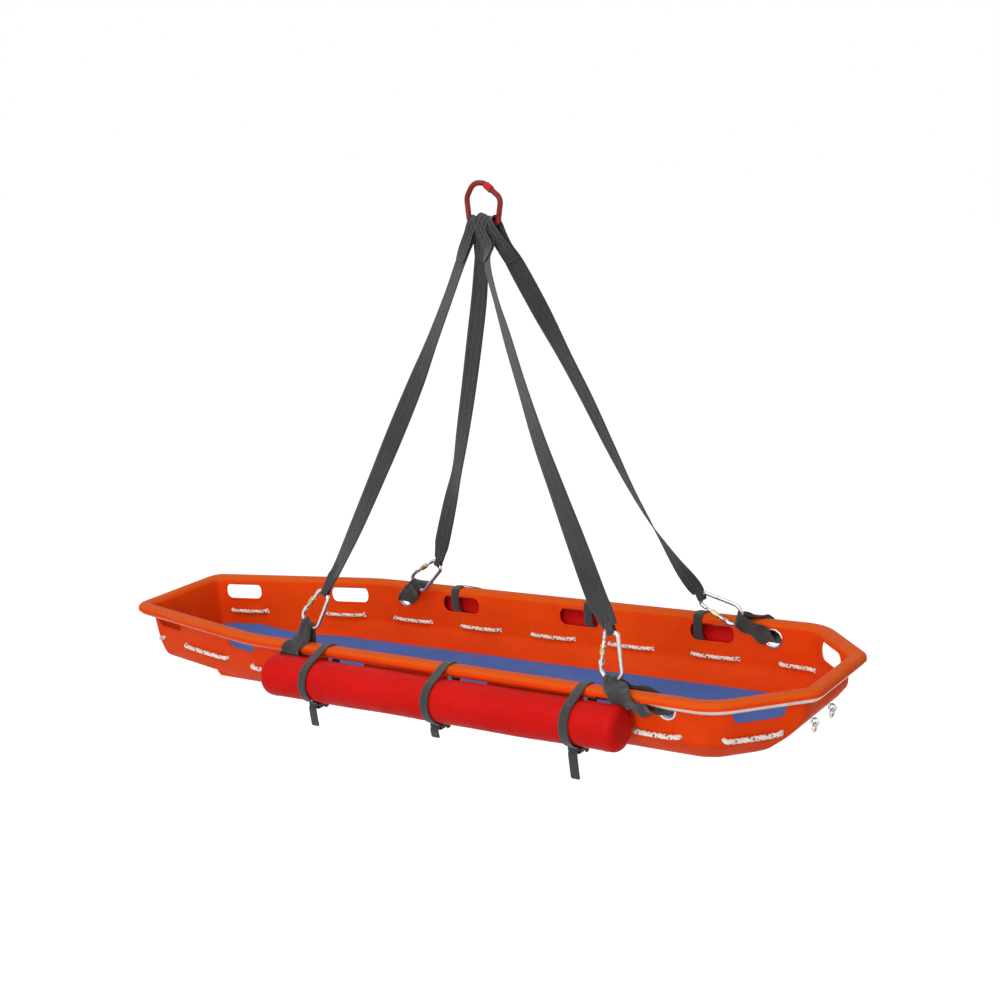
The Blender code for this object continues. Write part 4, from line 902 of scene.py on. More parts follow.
def wallCuts():
    # What the holes take out: hand slots, rope holes, tow bolt holes and the holes of the sling's eyelets
    cuts = []
    for _, side in sides:
        cuts += [prismPart(slotOutline(), wallPlace(x, side, slots["depth"]), cutHalf["slot"])
                 for x in slots["stations"]]
        cuts += [prismPart(circle(lacing["hole"], 16), wallPlace(x, side, lacing["depth"]), cutHalf["hole"])
                 for x in lacing["stations"]]
        bolt = circle(towLook["shank"] + towLook["clear"], 14)
        cuts.append(prismPart(bolt, towPlace(side), cutHalf["tow"]))
    for x, side, _, _ in anchors.values():
        cuts.append(prismPart(circle(anchorLook["hole"], 40), wallPlace(x, side, anchorLook["depth"]),
                              cutHalf["hole"]))
    return cuts


def basketShell():
    # One skin: the rounded section carried round the plan, closed by a floor that runs in to a line,
    # thickened inwards and then cut
    skin = roundedProfile()
    floor = runIn(skin[-1], basket["spine"], basket["spineShares"], skin[-1][:, 2])
    shell = plainObject("basketShell", [sheet(hung(np.concatenate((skin, floor))))])
    model = bmesh.new()
    model.from_mesh(shell.data)
    bmesh.ops.remove_doubles(model, verts=model.verts, dist=0.00005)
    bmesh.ops.dissolve_degenerate(model, dist=0.00004, edges=model.edges)
    model.normal_update()
    if sum(face.normal.z * face.calc_area() for face in model.faces) > 0:
        bmesh.ops.reverse_faces(model, faces=model.faces)
    model.to_mesh(shell.data)
    model.free()
    wall = shell.modifiers.new("wall", "SOLIDIFY")
    wall.thickness = basket["wall"]
    wall.offset = -1.0
    applied(shell)
    cutter = plainObject("cuts", wallCuts())
    step = shell.modifiers.new("holes", "BOOLEAN")
    step.object = cutter
    step.operation = "DIFFERENCE"
    step.solver = "EXACT"
    applied(shell)
    bpy.data.objects.remove(cutter, do_unlink=True)
    return finished(shell, "shell", "basket", "basket_shell", 38.0)


def slotRims():
    # A rounded bead that runs round each slot's edge on both faces of the wall
    outline = slotOutline()
    way = unit(np.roll(outline, -1, 0) - np.roll(outline, 1, 0))
    outward = np.stack((way[:, 1], -way[:, 0]), -1)
    a = turnAngles(slots["beadColumns"])
    reach = slots["beadWidth"] / 2 - slots["beadIn"] + slots["beadWidth"] / 2 * np.cos(a)
    thick = basket["wall"] / 2 + slots["beadProud"]
    proud = -basket["wall"] / 2 + thick * np.sign(np.sin(a)) * np.abs(np.sin(a)) ** slots["beadPower"]
    flat = outline[:, None] + outward[:, None] * reach[None, :, None]
    parts = []
    for _, side in sides:
        for x in slots["stations"]:
            here, along, up, _ = wallFrame(x, side, slots["depth"])
            base = here + along * flat[..., :1] + up * flat[..., 1:]
            place, _, _, out = wallFrame(base[..., 0], side, -base[..., 2])
            parts.append(sheet(hung(place + out * proud[None, :, None]), wrapRows=True))
    return makePiece("slotRims", parts, "shell", "basket")


runnerShape = {"foot": -0.760, "flat": -0.665, "head": 0.860, "y": 0.145, "half": 0.0275, "height": 0.010,
               "footRise": 0.0061, "footSlope": 0.012, "headSlope": 0.030, "round": 0.0035, "inFloor": 0.0024,
               "leastDrop": -0.001, "topEdge": (1.0, 0.35, -1.0)}


def runners():
    # Two skids under the floor: flat below with rounded edges, each end falling away along its slope
    r = runnerShape
    x = np.concatenate((r["foot"] + np.linspace(0, 0.02, 9),
                        np.linspace(r["foot"] + 0.03, r["head"] - 0.05, 90),
                        r["head"] - np.linspace(0.04, 0, 11)))
    ease = np.minimum((x - r["foot"]) / r["footSlope"], (r["head"] - x) / r["headSlope"])
    drop = r["height"] * np.sin(np.clip(ease, 0.0, 1.0) * math.pi / 2)
    rise = r["footRise"] * np.clip((r["flat"] - x) / (r["flat"] - r["foot"]), 0.0, 1.0)
    a = np.linspace(0, math.pi / 2, 6)
    inwards, upwards = r["round"] / r["half"] * (1 - np.cos(a)), -r["round"] * (1 - np.sin(a))
    s = np.concatenate((-1 + inwards, 1 - inwards[::-1]))
    down = np.concatenate((upwards, upwards[::-1]))
    below = -basket["floorDepth"] - np.maximum(drop[:, None] + down[None], r["leastDrop"])
    edge = np.array(r["topEdge"])
    above = -basket["floorDepth"] + r["inFloor"] + rise[:, None] * (edge[None] > 0.9)
    parts = []
    for _, side in sides:
        low = columnsOf(x[:, None], side * (r["y"] + s[None] * r["half"]), below)
        high = columnsOf(x[:, None], side * (r["y"] + edge[None] * r["half"]), above)
        parts.append(sheet(hung(np.concatenate((low, high), 1)), caps=True))
    return makePiece("runners", parts, "shell", "basket")


basketShell()
slotRims()
runners()
print("basket shell made")


tube = {"radius": 0.013, "inset": 0.0178, "z": -0.0174}


def rimTube():
    # A round bar carried round the rim, under its flange
    ring = planRing((tube["inset"],) * 5, tube["inset"], tube["z"])
    bar = sweep(hung(ring), zAxis, circle(tube["radius"], 24), closed=True)
    return makePiece("rimTube", [bar], "tube", "basket", "rim_tube")


rimTube()


padShape = {"thickness": 0.014, "gap": 0.020, "insets": (0.016, 0.029, 0.049, 0.074, 0.124),
            "steps": (0.0, 0.0004, 0.0013, 0.0028, 0.0048, 0.0066, 0.010, 0.018, 0.030, 0.050),
            "lift": 0.0004, "edge": 0.0065,
            "underShare": 0.96, "topShare": 0.97, "dip": 0.0012, "dipFrom": 0.006, "dipFade": 0.008,
            "wave": 0.0007, "sink": 0.0008, "spine": (-0.78, 0.70), "bendFrom": -0.66, "bendTo": -0.86,
            "bendUp": 0.026, "bendPower": 1.6}


def padRing(step, z):
    # The pad's plan moved in by a step, at height z
    bend = float(wallInset(basket["bendDepth"]))
    return planRing([bend + more + padShape["gap"] + step for more in padShape["insets"]], 0.0, z)


def padCushion():
    # Rings stepping in from the edge: height rises as a quarter ellipse, then to a soft crown with a slow
    # wave; flat underneath, and turned up at the foot as up = bendUp * share ^ bendPower
    p = padShape
    low = -basket["floorDepth"] + basket["wall"] + p["lift"]
    half = p["thickness"] / 2
    steps = np.array(p["steps"])
    rise = np.sqrt(np.clip(1 - (1 - np.clip(steps / p["edge"], 0, 1)) ** 2, 0, 1))
    under = low + half - half * rise * p["underShare"]
    over = low + half + half * rise * p["topShare"] - p["dip"] * np.exp(-steps / p["dipFade"]) * (
        steps > p["dipFrom"])
    rings = [padRing(step, z) for step, z in zip(steps[::-1], under[::-1])]
    rings += [padRing(step, z) for step, z in zip(steps[1:], over[1:])]
    shares = np.linspace(0, 1, 9)[1:]
    lower = runIn(rings[0], p["spine"], shares, rings[0][0, 2])[::-1]
    upper = runIn(rings[-1], p["spine"], shares, low + p["thickness"])
    grid = np.concatenate((lower, rings, upper))
    x, y = grid[..., 0], grid[..., 1]
    wave = np.sin(x * 31 + 1.7 * np.sin(y * 23)) * np.sin(y * 27 + 1.1)
    onTop = len(lower) + len(steps)
    grid[onTop:, :, 2] += p["wave"] * wave[onTop:] - p["sink"]
    bend = np.clip((p["bendFrom"] - x) / (p["bendFrom"] - p["bendTo"]), 0.0, 1.0)
    grid[..., 2] += p["bendUp"] * bend ** p["bendPower"]
    uv = np.concatenate((grid[..., :2], grid[:, :1, :2]), 1)
    pad = makePiece("padCushion", [sheet(hung(grid), uv)], "pad", "pad_body", "pad")
    return pad


padCushion()

# Each lump is its height, its turns along x and round, and where it starts
floatShape = {"radius": 0.055, "foot": -0.385, "head": 0.690, "y": 0.332, "z": -0.075, "end": 0.022,
              "pinch": 0.0026, "pinchWidth": 0.017, "seam": 0.0011, "seamIn": 0.034, "seamWidth": 0.0016,
              "lumps": ((0.0006, 11, 2, 0.0), (0.0005, 23, -3, 1.0)), "lumpSink": 0.0011, "hubs": (0.65, 0.3),
              "hubMap": 0.015, "columns": 72, "rows": 260}
floatStraps = {"near": {"stations": (-0.229, 0.166, 0.565), "tails": (0.045, 0.018, 0.060)},
               "far": {"stations": (-0.210, 0.234, 0.565), "tails": (0.040, 0.050, 0.045)},
               "width": 0.026, "thickness": 0.002, "crown": 0.0002, "endNarrow": 0.10, "endLength": 0.004,
               "rows": 260}


def floatBody(word, side):
    # Radius along x: rounded ends, a waist under each strap, a seam ridge near each end and slow soft lumps
    f = floatShape
    ends = f["end"] * (1 - np.cos(np.linspace(0, math.pi / 2, 12)))
    inner = np.linspace(f["foot"] + f["end"], f["head"] - f["end"], f["rows"])
    x = np.concatenate((f["foot"] + ends[:-1], inner, f["head"] - ends[:-1][::-1]))
    near = np.clip(np.minimum(x - f["foot"], f["head"] - x) / f["end"], 0, 1)
    radius = f["radius"] - f["end"] + f["end"] * np.sqrt(1 - (1 - near) ** 2)
    for station in floatStraps[word]["stations"]:
        radius = radius - f["pinch"] * np.exp(-((x - station) / f["pinchWidth"]) ** 2)
    for seam in (f["foot"] + f["seamIn"], f["head"] - f["seamIn"]):
        radius = radius + f["seam"] * np.exp(-((x - seam) / f["seamWidth"]) ** 2)
    a = turnAngles(f["columns"])[None]
    lumps = sum(size * np.sin(along * x[:, None] + around * a + start)
                for size, along, around, start in f["lumps"]) - f["lumpSink"]
    r = radius[:, None] + lumps * near[:, None]
    grid = columnsOf(x[:, None], side * f["y"] + side * r * np.cos(a), f["z"] + r * np.sin(a))
    hub = np.array(f["hubs"])[:, None, None]
    start, end = (np.array((f[tip], side * f["y"], f["z"])) for tip in ("foot", "head"))
    grid = np.concatenate(((start + (grid[0] - start) * hub)[::-1], grid, end + (grid[-1] - end) * hub))
    u = np.arange(f["columns"] + 1) * 2 * math.pi / f["columns"] * f["radius"]
    beyond = np.array((1, 2)) * f["hubMap"]
    v = np.concatenate((x[0] - beyond[::-1], x, x[-1] + beyond))
    skin = sheet(hung(grid), columnsOf(u[None], v[:, None]), caps=True)
    made = makePiece(word + "FloatBody", [skin], "float", "basket", word + "_float")
    return made


for word, side in sides:
    floatBody(word, side)
print("pad and floats made")


# Distances across the basket: of the strap from what it lies on, and of its turns at the slot and the buckle
strapPath = {"offFloat": 0.0004, "offRim": 0.0006, "wallTo": 0.114, "slotUp": 0.0065, "insideUp": 0.012,
             "inSlot": (-0.002, 0.001), "pastSlot": (0.004, -0.002), "buckleDrop": 0.0062, "enter": 0.021,
             "leave": 0.018, "startAt": (0.0182, 0.001), "startAngle": -66, "tailAt": 0.025,
             "tailTurn": ((-0.0015, 0.003), (0.0, 0.009)), "tailLean": (0.001, 0.003)}


def rimLine(stand):
    # The section over the rim as (inset, z), moved off the skin's underside by stand along mitred normals
    wallTo = strapPath["wallTo"]
    line = [(inset, -depth) for inset, depth in upperSection() + [(float(wallInset(wallTo)), wallTo)]]
    line = np.array(line)
    way = unit(np.diff(line, axis=0))
    normal = np.stack((-way[:, 1], way[:, 0]), -1)
    before = np.concatenate((normal[:1], normal))
    after = np.concatenate((normal, normal[-1:]))
    mitre = stand / (1 + np.sum(before * after, 1))
    return line + (before + after) * mitre[:, None]


def arc(centre, radius, start, end, steps):
    # Points of a circle from one angle in degrees to another
    a = np.radians(np.linspace(start, end, steps + 1))
    return [(centre[0] + radius * math.cos(t), centre[1] + radius * math.sin(t)) for t in a]


def degreesTo(point, centre):
    # The way from a centre to a point, as an angle from the first axis
    return math.degrees(math.atan2(point[1] - centre[1], point[0] - centre[0]))


def touchAngle(radius, point, centre):
    # Degrees between the way to a point and the way to where a line from it touches the circle
    return math.degrees(math.acos(min(radius / math.hypot(point[0] - centre[0], point[1] - centre[1]), 1.0)))


def strapRoute(x, tail):
    # In the plane across the basket (y, z): from the buckle round the float, over the rim, down inside the
    # wall, out through the slot, under the float, through the buckle and down as a tail
    s = strapPath
    half = floatStraps["thickness"] / 2
    around = floatShape["radius"] + s["offFloat"] + half
    axis = (floatShape["y"], floatShape["z"])
    over = [(rimAt(x) - inset, z) for inset, z in rimLine(basket["wall"] + half + s["offRim"])]
    _, _, corner, flange, top, bend = over
    leave = degreesTo(corner, axis) - touchAngle(around, corner, axis)
    through = -slots["depth"] - slots["height"] / 2 + s["slotUp"]
    wall = rimAt(x) - float(wallInset(-through))
    share = (top[1] - through - s["insideUp"]) / (top[1] - bend[1])
    inside = (top[0] + (bend[0] - top[0]) * share, through + s["insideUp"])
    inSlot, below = ((wall + out, through + up) for out, up in (s["inSlot"], s["pastSlot"]))
    meet = degreesTo(below, axis) % 360 + touchAngle(around, below, axis)
    slotZ = axis[1] - floatShape["radius"] - s["buckleDrop"]
    enter = (axis[0] - s["enter"], slotZ)
    part = degreesTo(enter, axis) % 360 - touchAngle(around, enter, axis)
    points = [(axis[0] + s["startAt"][0], axis[1] - around - s["startAt"][1])]
    points += arc(axis, around, s["startAngle"], leave, 16)
    points += [corner, flange, top, inside, inSlot, below]
    points += arc(axis, around, meet, part, 6)
    points += [enter, (axis[0], slotZ), (axis[0] + s["leave"], slotZ)]
    drop = axis[0] + s["tailAt"]
    points += [(drop + out, slotZ - down) for out, down in s["tailTurn"]]
    tailZ = slotZ - s["tailTurn"][1][1]
    return points + [(drop - s["tailLean"][0], tailZ - tail / 2), (drop - s["tailLean"][1], tailZ - tail)]


def floatStrap(word, side, place, x, tail):
    # A strap along its route in the plane across the basket at x, a little narrower at its tail's end
    s = floatStraps
    path = hung(throughPoints([(x, side * y, z) for y, z in strapRoute(x, tail)], s["rows"]))
    run = lengths(path)
    fade = np.clip((run[-1] - run) / s["endLength"], 0, 1)
    section = strapSection(s["width"] * (1 - s["endNarrow"] * (1 - fade)), s["thickness"], crown=s["crown"])
    return makePiece(f"{word}{place.capitalize()}FloatStrap", [sweep(path, hung(xAxis, True), section)],
                     "strap", "basket", f"{word}_{place}_float_strap")


for word, side in sides:
    stations, tails = floatStraps[word]["stations"], floatStraps[word]["tails"]
    for place, x, tail in zip(("foot", "middle", "head"), stations, tails):
        floatStrap(word, side, place, x, tail)
        for end in ("frame", "lever"):
            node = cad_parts[f"{word}_{place}_buckle_{end}"]
            node.data.materials.clear()
            node.data.materials.append(finishes["buckle"])
print("float straps made")


def ropeLine(word, side):
    # Knots in the basket's frame, each with the way up the wall: at each hole a half turn from one face of
    # the wall (1 outside, -1 inside) to the other, and on the way to the next hole a slight sag sin(pi share)
    off = lacing[word] + basket["wall"] / 2 + lacing["clear"]
    stations = lacing["stations"]
    rows, face = [], 1
    for k, x in enumerate(stations):
        here, along, up, out = wallFrame(x, side, lacing["depth"])
        middle = here - out * basket["wall"] / 2
        if k == 0:
            rows.append((middle + out * off - along * lacing["tail"], up))
        for angle in (90, 45, 0, -45, -90):
            lean, rise = math.cos(math.radians(angle)), math.sin(math.radians(angle))
            step = off * (lean - 1) * np.sign(angle)
            rows.append((middle + along * step + out * off * rise * face, up))
        for share in (0.25, 0.5, 0.75) if x < stations[-1] else ():
            here, _, up, out = wallFrame(x + (stations[k + 1] - x) * share, side, lacing["depth"])
            outwards = basket["wall"] / 2 + (off + lacing["bulge"]) * face
            rows.append((here - out * outwards - up * lacing["sag"] * math.sin(math.pi * share), up))
        face = -face
    rows.append((middle + out * off * face + along * lacing["tail"], up))
    return np.array(rows).reshape(-1, 6)


def lacingRope(word, side):
    # Three strands wound about the line: each strand's centre turns as 2 pi length / pitch. The first one's
    # UV map lies 2 m aside, which marks it as the one with tracer flecks.
    line = throughPoints(ropeLine(word, side), lacing["rows"])
    path, up = hung(line[:, :3]), hung(line[:, 3:], True)
    tangent = unit(np.gradient(path, axis=0))
    up = squared(up, tangent)
    out = np.cross(tangent, up)
    run = lengths(path)[:, None]
    strand = lacing[word] * lacing["strandShare"]
    parts = []
    for k in range(3):
        turn = 2 * math.pi * (run / lacing["pitch"] + k / 3)
        radial = np.cos(turn) * up + np.sin(turn) * out
        parts.append(sweep(path + (lacing[word] - strand) * radial, radial, circle(strand, 8),
                           shift=2.0 * (k == 0)))
    for end in (slice(None, lacing["endRows"]), slice(-lacing["endRows"], None)):
        parts.append(sweep(path[end], up[end], circle(lacing[word] * lacing["endShare"], 14)))
    return makePiece(word + "LacingRope", parts, "rope", "basket", word + "_lacing_rope")


for word, side in sides:
    lacingRope(word, side)
print("lacing ropes made")


eyeletShape = {"clear": 0.0004, "inwards": 0.0026, "outwards": 0.0036, "seat": 0.0002, "roll": 0.0015}


def eyelet(name, x, side):
    # A flat ring with rolled lips on both faces: the lips' section is a half round
    e = eyeletShape
    outer = anchorLook["hole"] - e["clear"]
    inner, lip = outer - e["inwards"], outer + e["outwards"]
    near = basket["wall"] / 2 + e["seat"]
    roll = [((inner + lip) / 2 + (lip - inner) / 2 * math.cos(t), near + e["roll"] * math.sin(t))
            for t in np.linspace(0, math.pi, 9)]
    profile = roll + [(inner, 0.0)] + [(r, -h) for r, h in reversed(roll)]
    ring = lathe(profile, 48, wallPlace(x, side, anchorLook["depth"]))
    return makePiece(name + "Eyelet", [ring], "steel", "basket", name + "_eyelet")


# Gate and sleeve places are shares of the gate side and of the gate. The hinge is two round cheeks, each with
# a rivet head, and a thin ear from each cheek to the bow. Profiles are (radius, height).
carabiner = {"length": 0.1145, "bar": 0.0052, "wide": 0.031, "narrow": 0.0165, "wideBend": 0.024,
             "narrowBend": 0.010, "gateStart": 0.34, "gateEnd": 0.80, "gate": 0.0040, "gap": 0.0005,
             "tip": 0.003, "tipLeast": 0.35, "onSide": 0.0004, "sideMargin": 0.001,
             "sleeve": 0.0072, "sleeveLength": 0.022, "sleeveAt": 0.54, "sleeveBore": 0.0004,
             "sleeveRound": 0.0008, "knurlDepth": 0.065, "knurls": 16, "knurled": (0.0028, 0.0192),
             "cheekLift": 0.0047, "earBack": 0.0028, "earThick": 0.0006, "earShare": 7.4,
             "cheek": ((0.0, -0.0006), (0.0046, -0.0006), (0.0050, 0.0), (0.0046, 0.0006), (0.0, 0.0006)),
             "rivet": ((0.0001, 0.0052), (0.0022, 0.0053), (0.0018, 0.0062), (0.0001, 0.0066)),
             "gateEdge": ((0.0, 0.0012), (0.0006, 0.0004), (0.0012, 0.0))}


def carabinerAxes(name):
    # The wide bow's middle, the long axis and the way across it, in the basket's frame
    _, side, (x, inset, z), (ax, az) = anchors[name]
    longWay = unit(np.array((ax, 0.0, az)))
    across = np.array((longWay[2], 0.0, -longWay[0]))
    return np.array((x, side * (rimAt(x) - inset), z)), longWay, across


def anchorLoop(name):
    # A closed strap: out of the eyelet, round the rim, over the carabiner's bow and back down inside.
    # Each row is (share of the way to the bow along x, inset, z, twist towards the bow's way across, width).
    x, side, _, _ = anchors[name]
    bow, longWay, across = carabinerAxes(name)
    across = across if across[0] > 0 else -across
    thick = anchorLook["thickness"]
    lean = math.cos(math.radians(35))
    turn = (carabiner["bar"] + thick / 2 + anchorLook["offBow"]) / lean
    low, lip, top = rimLine(basket["wall"] + thick / 2 + anchorLook["clear"])[:3]
    hole = float(wallInset(anchorLook["depth"])) + basket["wall"] / 2
    z0 = -anchorLook["depth"] - 0.004
    wide, inHole = anchorLook["loopWidth"], anchorLook["inHole"]
    bowInset = rimAt(bow[0]) - abs(bow[1])
    halfOver = top[0] + (bowInset - turn - top[0]) * 0.55
    inner = max(bowInset, basket["flange"] + 0.010)
    outside = [(0.00, hole, z0, 0, inHole), (0.03, hole - 0.011, z0, 0, inHole),
               (0.22, 0.017, z0 + 0.003, 0, wide * 0.8), (0.45, 0.011, -0.0325, 0, wide),
               (0.60, low[0], low[1] - 0.001, 0, wide), (0.70, lip[0], lip[1], 0, wide * 0.95),
               (0.78, top[0], top[1], 0, wide * 0.9),
               (0.92, halfOver, top[1] + max(0.3 * (bow[2] - top[1]), 0.005), 0.2, wide * 0.8)]
    inside = [(0.80, inner + 0.002, -0.006, 0.5, wide * 0.8), (0.50, hole + 0.015, -0.020, 0.1, wide * 0.9),
              (0.16, hole + 0.0135, z0 + 0.008, 0, inHole + 0.004), (0.03, hole + 0.009, z0, 0, inHole)]

    def onWall(table):
        rows = []
        for share, inset, z, twist, width in table:
            at = x + (bow[0] - x) * share
            rows.append((at, side * (rimAt(at) - inset), z, *(xAxis * (1 - twist) + across * twist), width))
        return rows

    overBow = []
    for angle in (-90, -35, 0, 35, 90):
        r = turn if angle else turn * lean + 0.0004
        t = math.radians(angle)
        centre = bow + longWay * r * math.cos(t) - side * yAxis * r * math.sin(t)
        overBow.append((*centre, *across, anchorLook["onBow"]))
    path = throughPoints(onWall(outside) + overBow + onWall(inside), 150, closed=True)
    width = path[:, 6]
    pleat = 0.0016 * np.clip((0.054 - width) / 0.03, 0, 1)
    ply = strapSection(width, thick, columns=17, pleat=pleat, pleats=2.0)
    loop = sweep(hung(path[:, :3]), hung(path[:, 3:6], True), ply, closed=True)
    return makePiece(name + "AnchorLoop", [loop], "leg", "basket", name + "_anchor_loop")


def carabinerParts(name):
    # The bow is a four-cornered loop of bar, open where the gate is; the gate and its sleeve are turned about
    # the gate's line
    c = carabiner
    bow, longWay, across = carabinerAxes(name)
    place = tilt @ framed(bow, longWay, across, np.cross(longWay, across))
    corners = np.array([(0.0, -c["wide"]), (0.0, c["wide"]), (c["length"], c["narrow"]),
                        (c["length"], -c["narrow"])])
    ring = roundedLoop(corners, [c["wideBend"], c["wideBend"], c["narrowBend"], c["narrowBend"]], 14, 12)
    low, high = corners[0], corners[3]
    way = unit(high - low)
    start, end = low + (high - low) * c["gateStart"], low + (high - low) * c["gateEnd"]
    # The ring's points beside the gate come out, and it is turned to start at one of the open ends
    onWay = (ring - low) @ way
    aside = np.abs((ring - low) @ np.array((-way[1], way[0])))
    opens, shuts = (start - low) @ way - c["sideMargin"], (end - low) @ way + c["sideMargin"]
    off = (aside < c["onSide"]) & (onWay > opens) & (onWay < shuts)
    keep = np.where(~off)[0]
    first = keep[np.argmax(np.diff(np.concatenate((keep[-1:] - len(ring), keep))) > 1)]
    ring = np.roll(ring, -first, 0)[:len(keep)]
    below, above = start - way * (c["gate"] + c["gap"]), end + way * c["gap"]
    if np.linalg.norm(ring[0] - below) > np.linalg.norm(ring[-1] - below):
        ring = ring[::-1]
    knots = np.concatenate(([below], ring[1:-1], [above]))
    path = throughPoints(np.concatenate((knots, np.zeros((len(knots), 1))), 1), 150)
    run = lengths(path)
    tip = np.clip(np.minimum(run, run[-1] - run) / c["tip"], 0, 1)
    radius = c["bar"] * np.sqrt(np.clip(1 - (1 - tip) ** 2, c["tipLeast"], 1))
    body = [sweep(moved(path, place), place[:3, 2], circle(1.0, 20)[None] * radius[:, None, None])]
    start3, way3, side3 = (np.array((*pair, 0.0)) for pair in (start, way, (-way[1], way[0])))
    hinge = place @ framed(start3, way3, side3, zAxis)
    for lift in (-1, 1):
        z = lift * c["cheekLift"]
        body.append(lathe([(r, z + h) for r, h in c["cheek"]], 28, hinge, closed=False))
        body.append(lathe([(r, lift * h) for r, h in c["rivet"]], 18, hinge, closed=False))
    ear = np.linspace(np.array((*(below - way * c["earBack"]), 0.0)), start3, 4)
    for lift in (-1, 1):
        line = moved(ear + zAxis * lift * c["cheekLift"], place)
        body.append(sweep(line, place[:3, 2], circle(c["earThick"], 12) * (1.0, c["earShare"])))
    makePiece(name + "CarabinerBody", body, "steel", "basket", name + "_carabiner_body")
    seat = place @ framed(start3, side3, zAxis, way3)
    length = float(np.linalg.norm(end - start))
    profile = [(c["gate"] * math.cos(t), c["gate"] * math.sin(t)) for t in np.radians(np.linspace(-85, 0, 7))]
    profile += [(c["gate"] - r, length - h) for r, h in c["gateEdge"]]
    makePiece(name + "Gate", [lathe(profile, 24, seat, closed=False)], "steel", name + "_gate_body",
              name + "_gate")
    inner, outer, long = c["gate"] + c["sleeveBore"], c["sleeve"], c["sleeveLength"]
    edge = outer - c["sleeveRound"]
    rise = np.array((0.0, 0.0, 0.0010, 0.0026, 0.0030, 0.0110, 0.0190, 0.0194, 0.0210, long, long))
    reach = np.array([inner, edge] + [outer] * 7 + [edge, inner])
    knurled = (rise > c["knurled"][0]) & (rise < c["knurled"][1])
    ripple = 1 - knurled[:, None] * c["knurlDepth"] * (0.5 - 0.5 * np.cos(c["knurls"] * turnAngles(96)))
    profile = np.stack((reach, rise + length * c["sleeveAt"] - long / 2), -1)
    makePiece(name + "GateSleeve", [lathe(profile, 96, seat, ripple=ripple)], "brass", name + "_sleeve_body",
              name + "_gate_sleeve")


for name, (x, side, _, _) in anchors.items():
    eyelet(name, x, side)
    anchorLoop(name)
    carabinerParts(name)
print("anchors and carabiners made")


sling = {"width": 0.050, "thickness": 0.0026, "rows": 460, "pleats": 3.0, "footGap": 0.0020,
         "eyeWidth": 0.0215, "eyeThickness": 0.0022, "narrow": 0.024, "onBar": 0.0200, "offBar": 0.0024,
         "behind": -0.0038, "ply": 0.0023, "eyeRows": 160}
# Place along the ring's bar, eye radius, width at the eye, what the foot end leaves free and its share of the
# width, and rows of (share of the length, turn in degrees away from the front view, bow to the right in
# millimetres, share of the width)
legShapes = {
    "foot_near": {"place": -0.0240, "eye": 0.0125, "neck": 0.028, "end": 0.016, "endWidth": 0.50, "rows": [
        (0.11, 52, 3, 0.90), (0.20, 56, 8, 1.0), (0.32, 48, 12, 1.0), (0.42, 30, 14, 1.0),
        (0.55, 22, 14, 1.0), (0.70, 32, 13, 1.0), (0.82, 42, 11, 1.0), (0.93, 52, 6, 0.90)]},
    "foot_far": {"place": 0.0030, "eye": 0.0185, "neck": 0.036, "end": 0.018, "endWidth": 0.70, "rows": [
        (0.11, 36, 6, 0.95), (0.20, 33, 12, 1.0), (0.32, 32, 15, 1.0), (0.45, 36, 17, 1.0),
        (0.58, 44, 17, 1.0), (0.70, 55, 16, 1.0), (0.80, 40, 10, 1.0), (0.92, 34, 3, 1.0)]},
    "head_near": {"place": -0.0090, "eye": 0.0180, "neck": 0.028, "end": 0.012, "endWidth": 0.84, "rows": [
        (0.11, 66, -16, 0.80), (0.20, 76, -23, 0.95), (0.30, 68, -25, 1.0), (0.42, 64, -27, 1.0),
        (0.55, 53, -27, 1.0), (0.68, 42, -21, 1.0), (0.80, 27, -15, 1.0), (0.92, 14, -9, 0.98)]},
    "head_far": {"place": 0.0225, "eye": 0.0130, "neck": 0.040, "end": 0.014, "endWidth": 0.66, "rows": [
        (0.11, 28, 3, 0.95), (0.22, 32, 1, 1.0), (0.34, 52, -3, 1.0), (0.46, 58, -8, 1.0),
        (0.58, 66, -17, 1.0), (0.70, 79, -24, 1.0), (0.80, 92, -23, 1.0), (0.90, 125, -16, 0.90)]}}


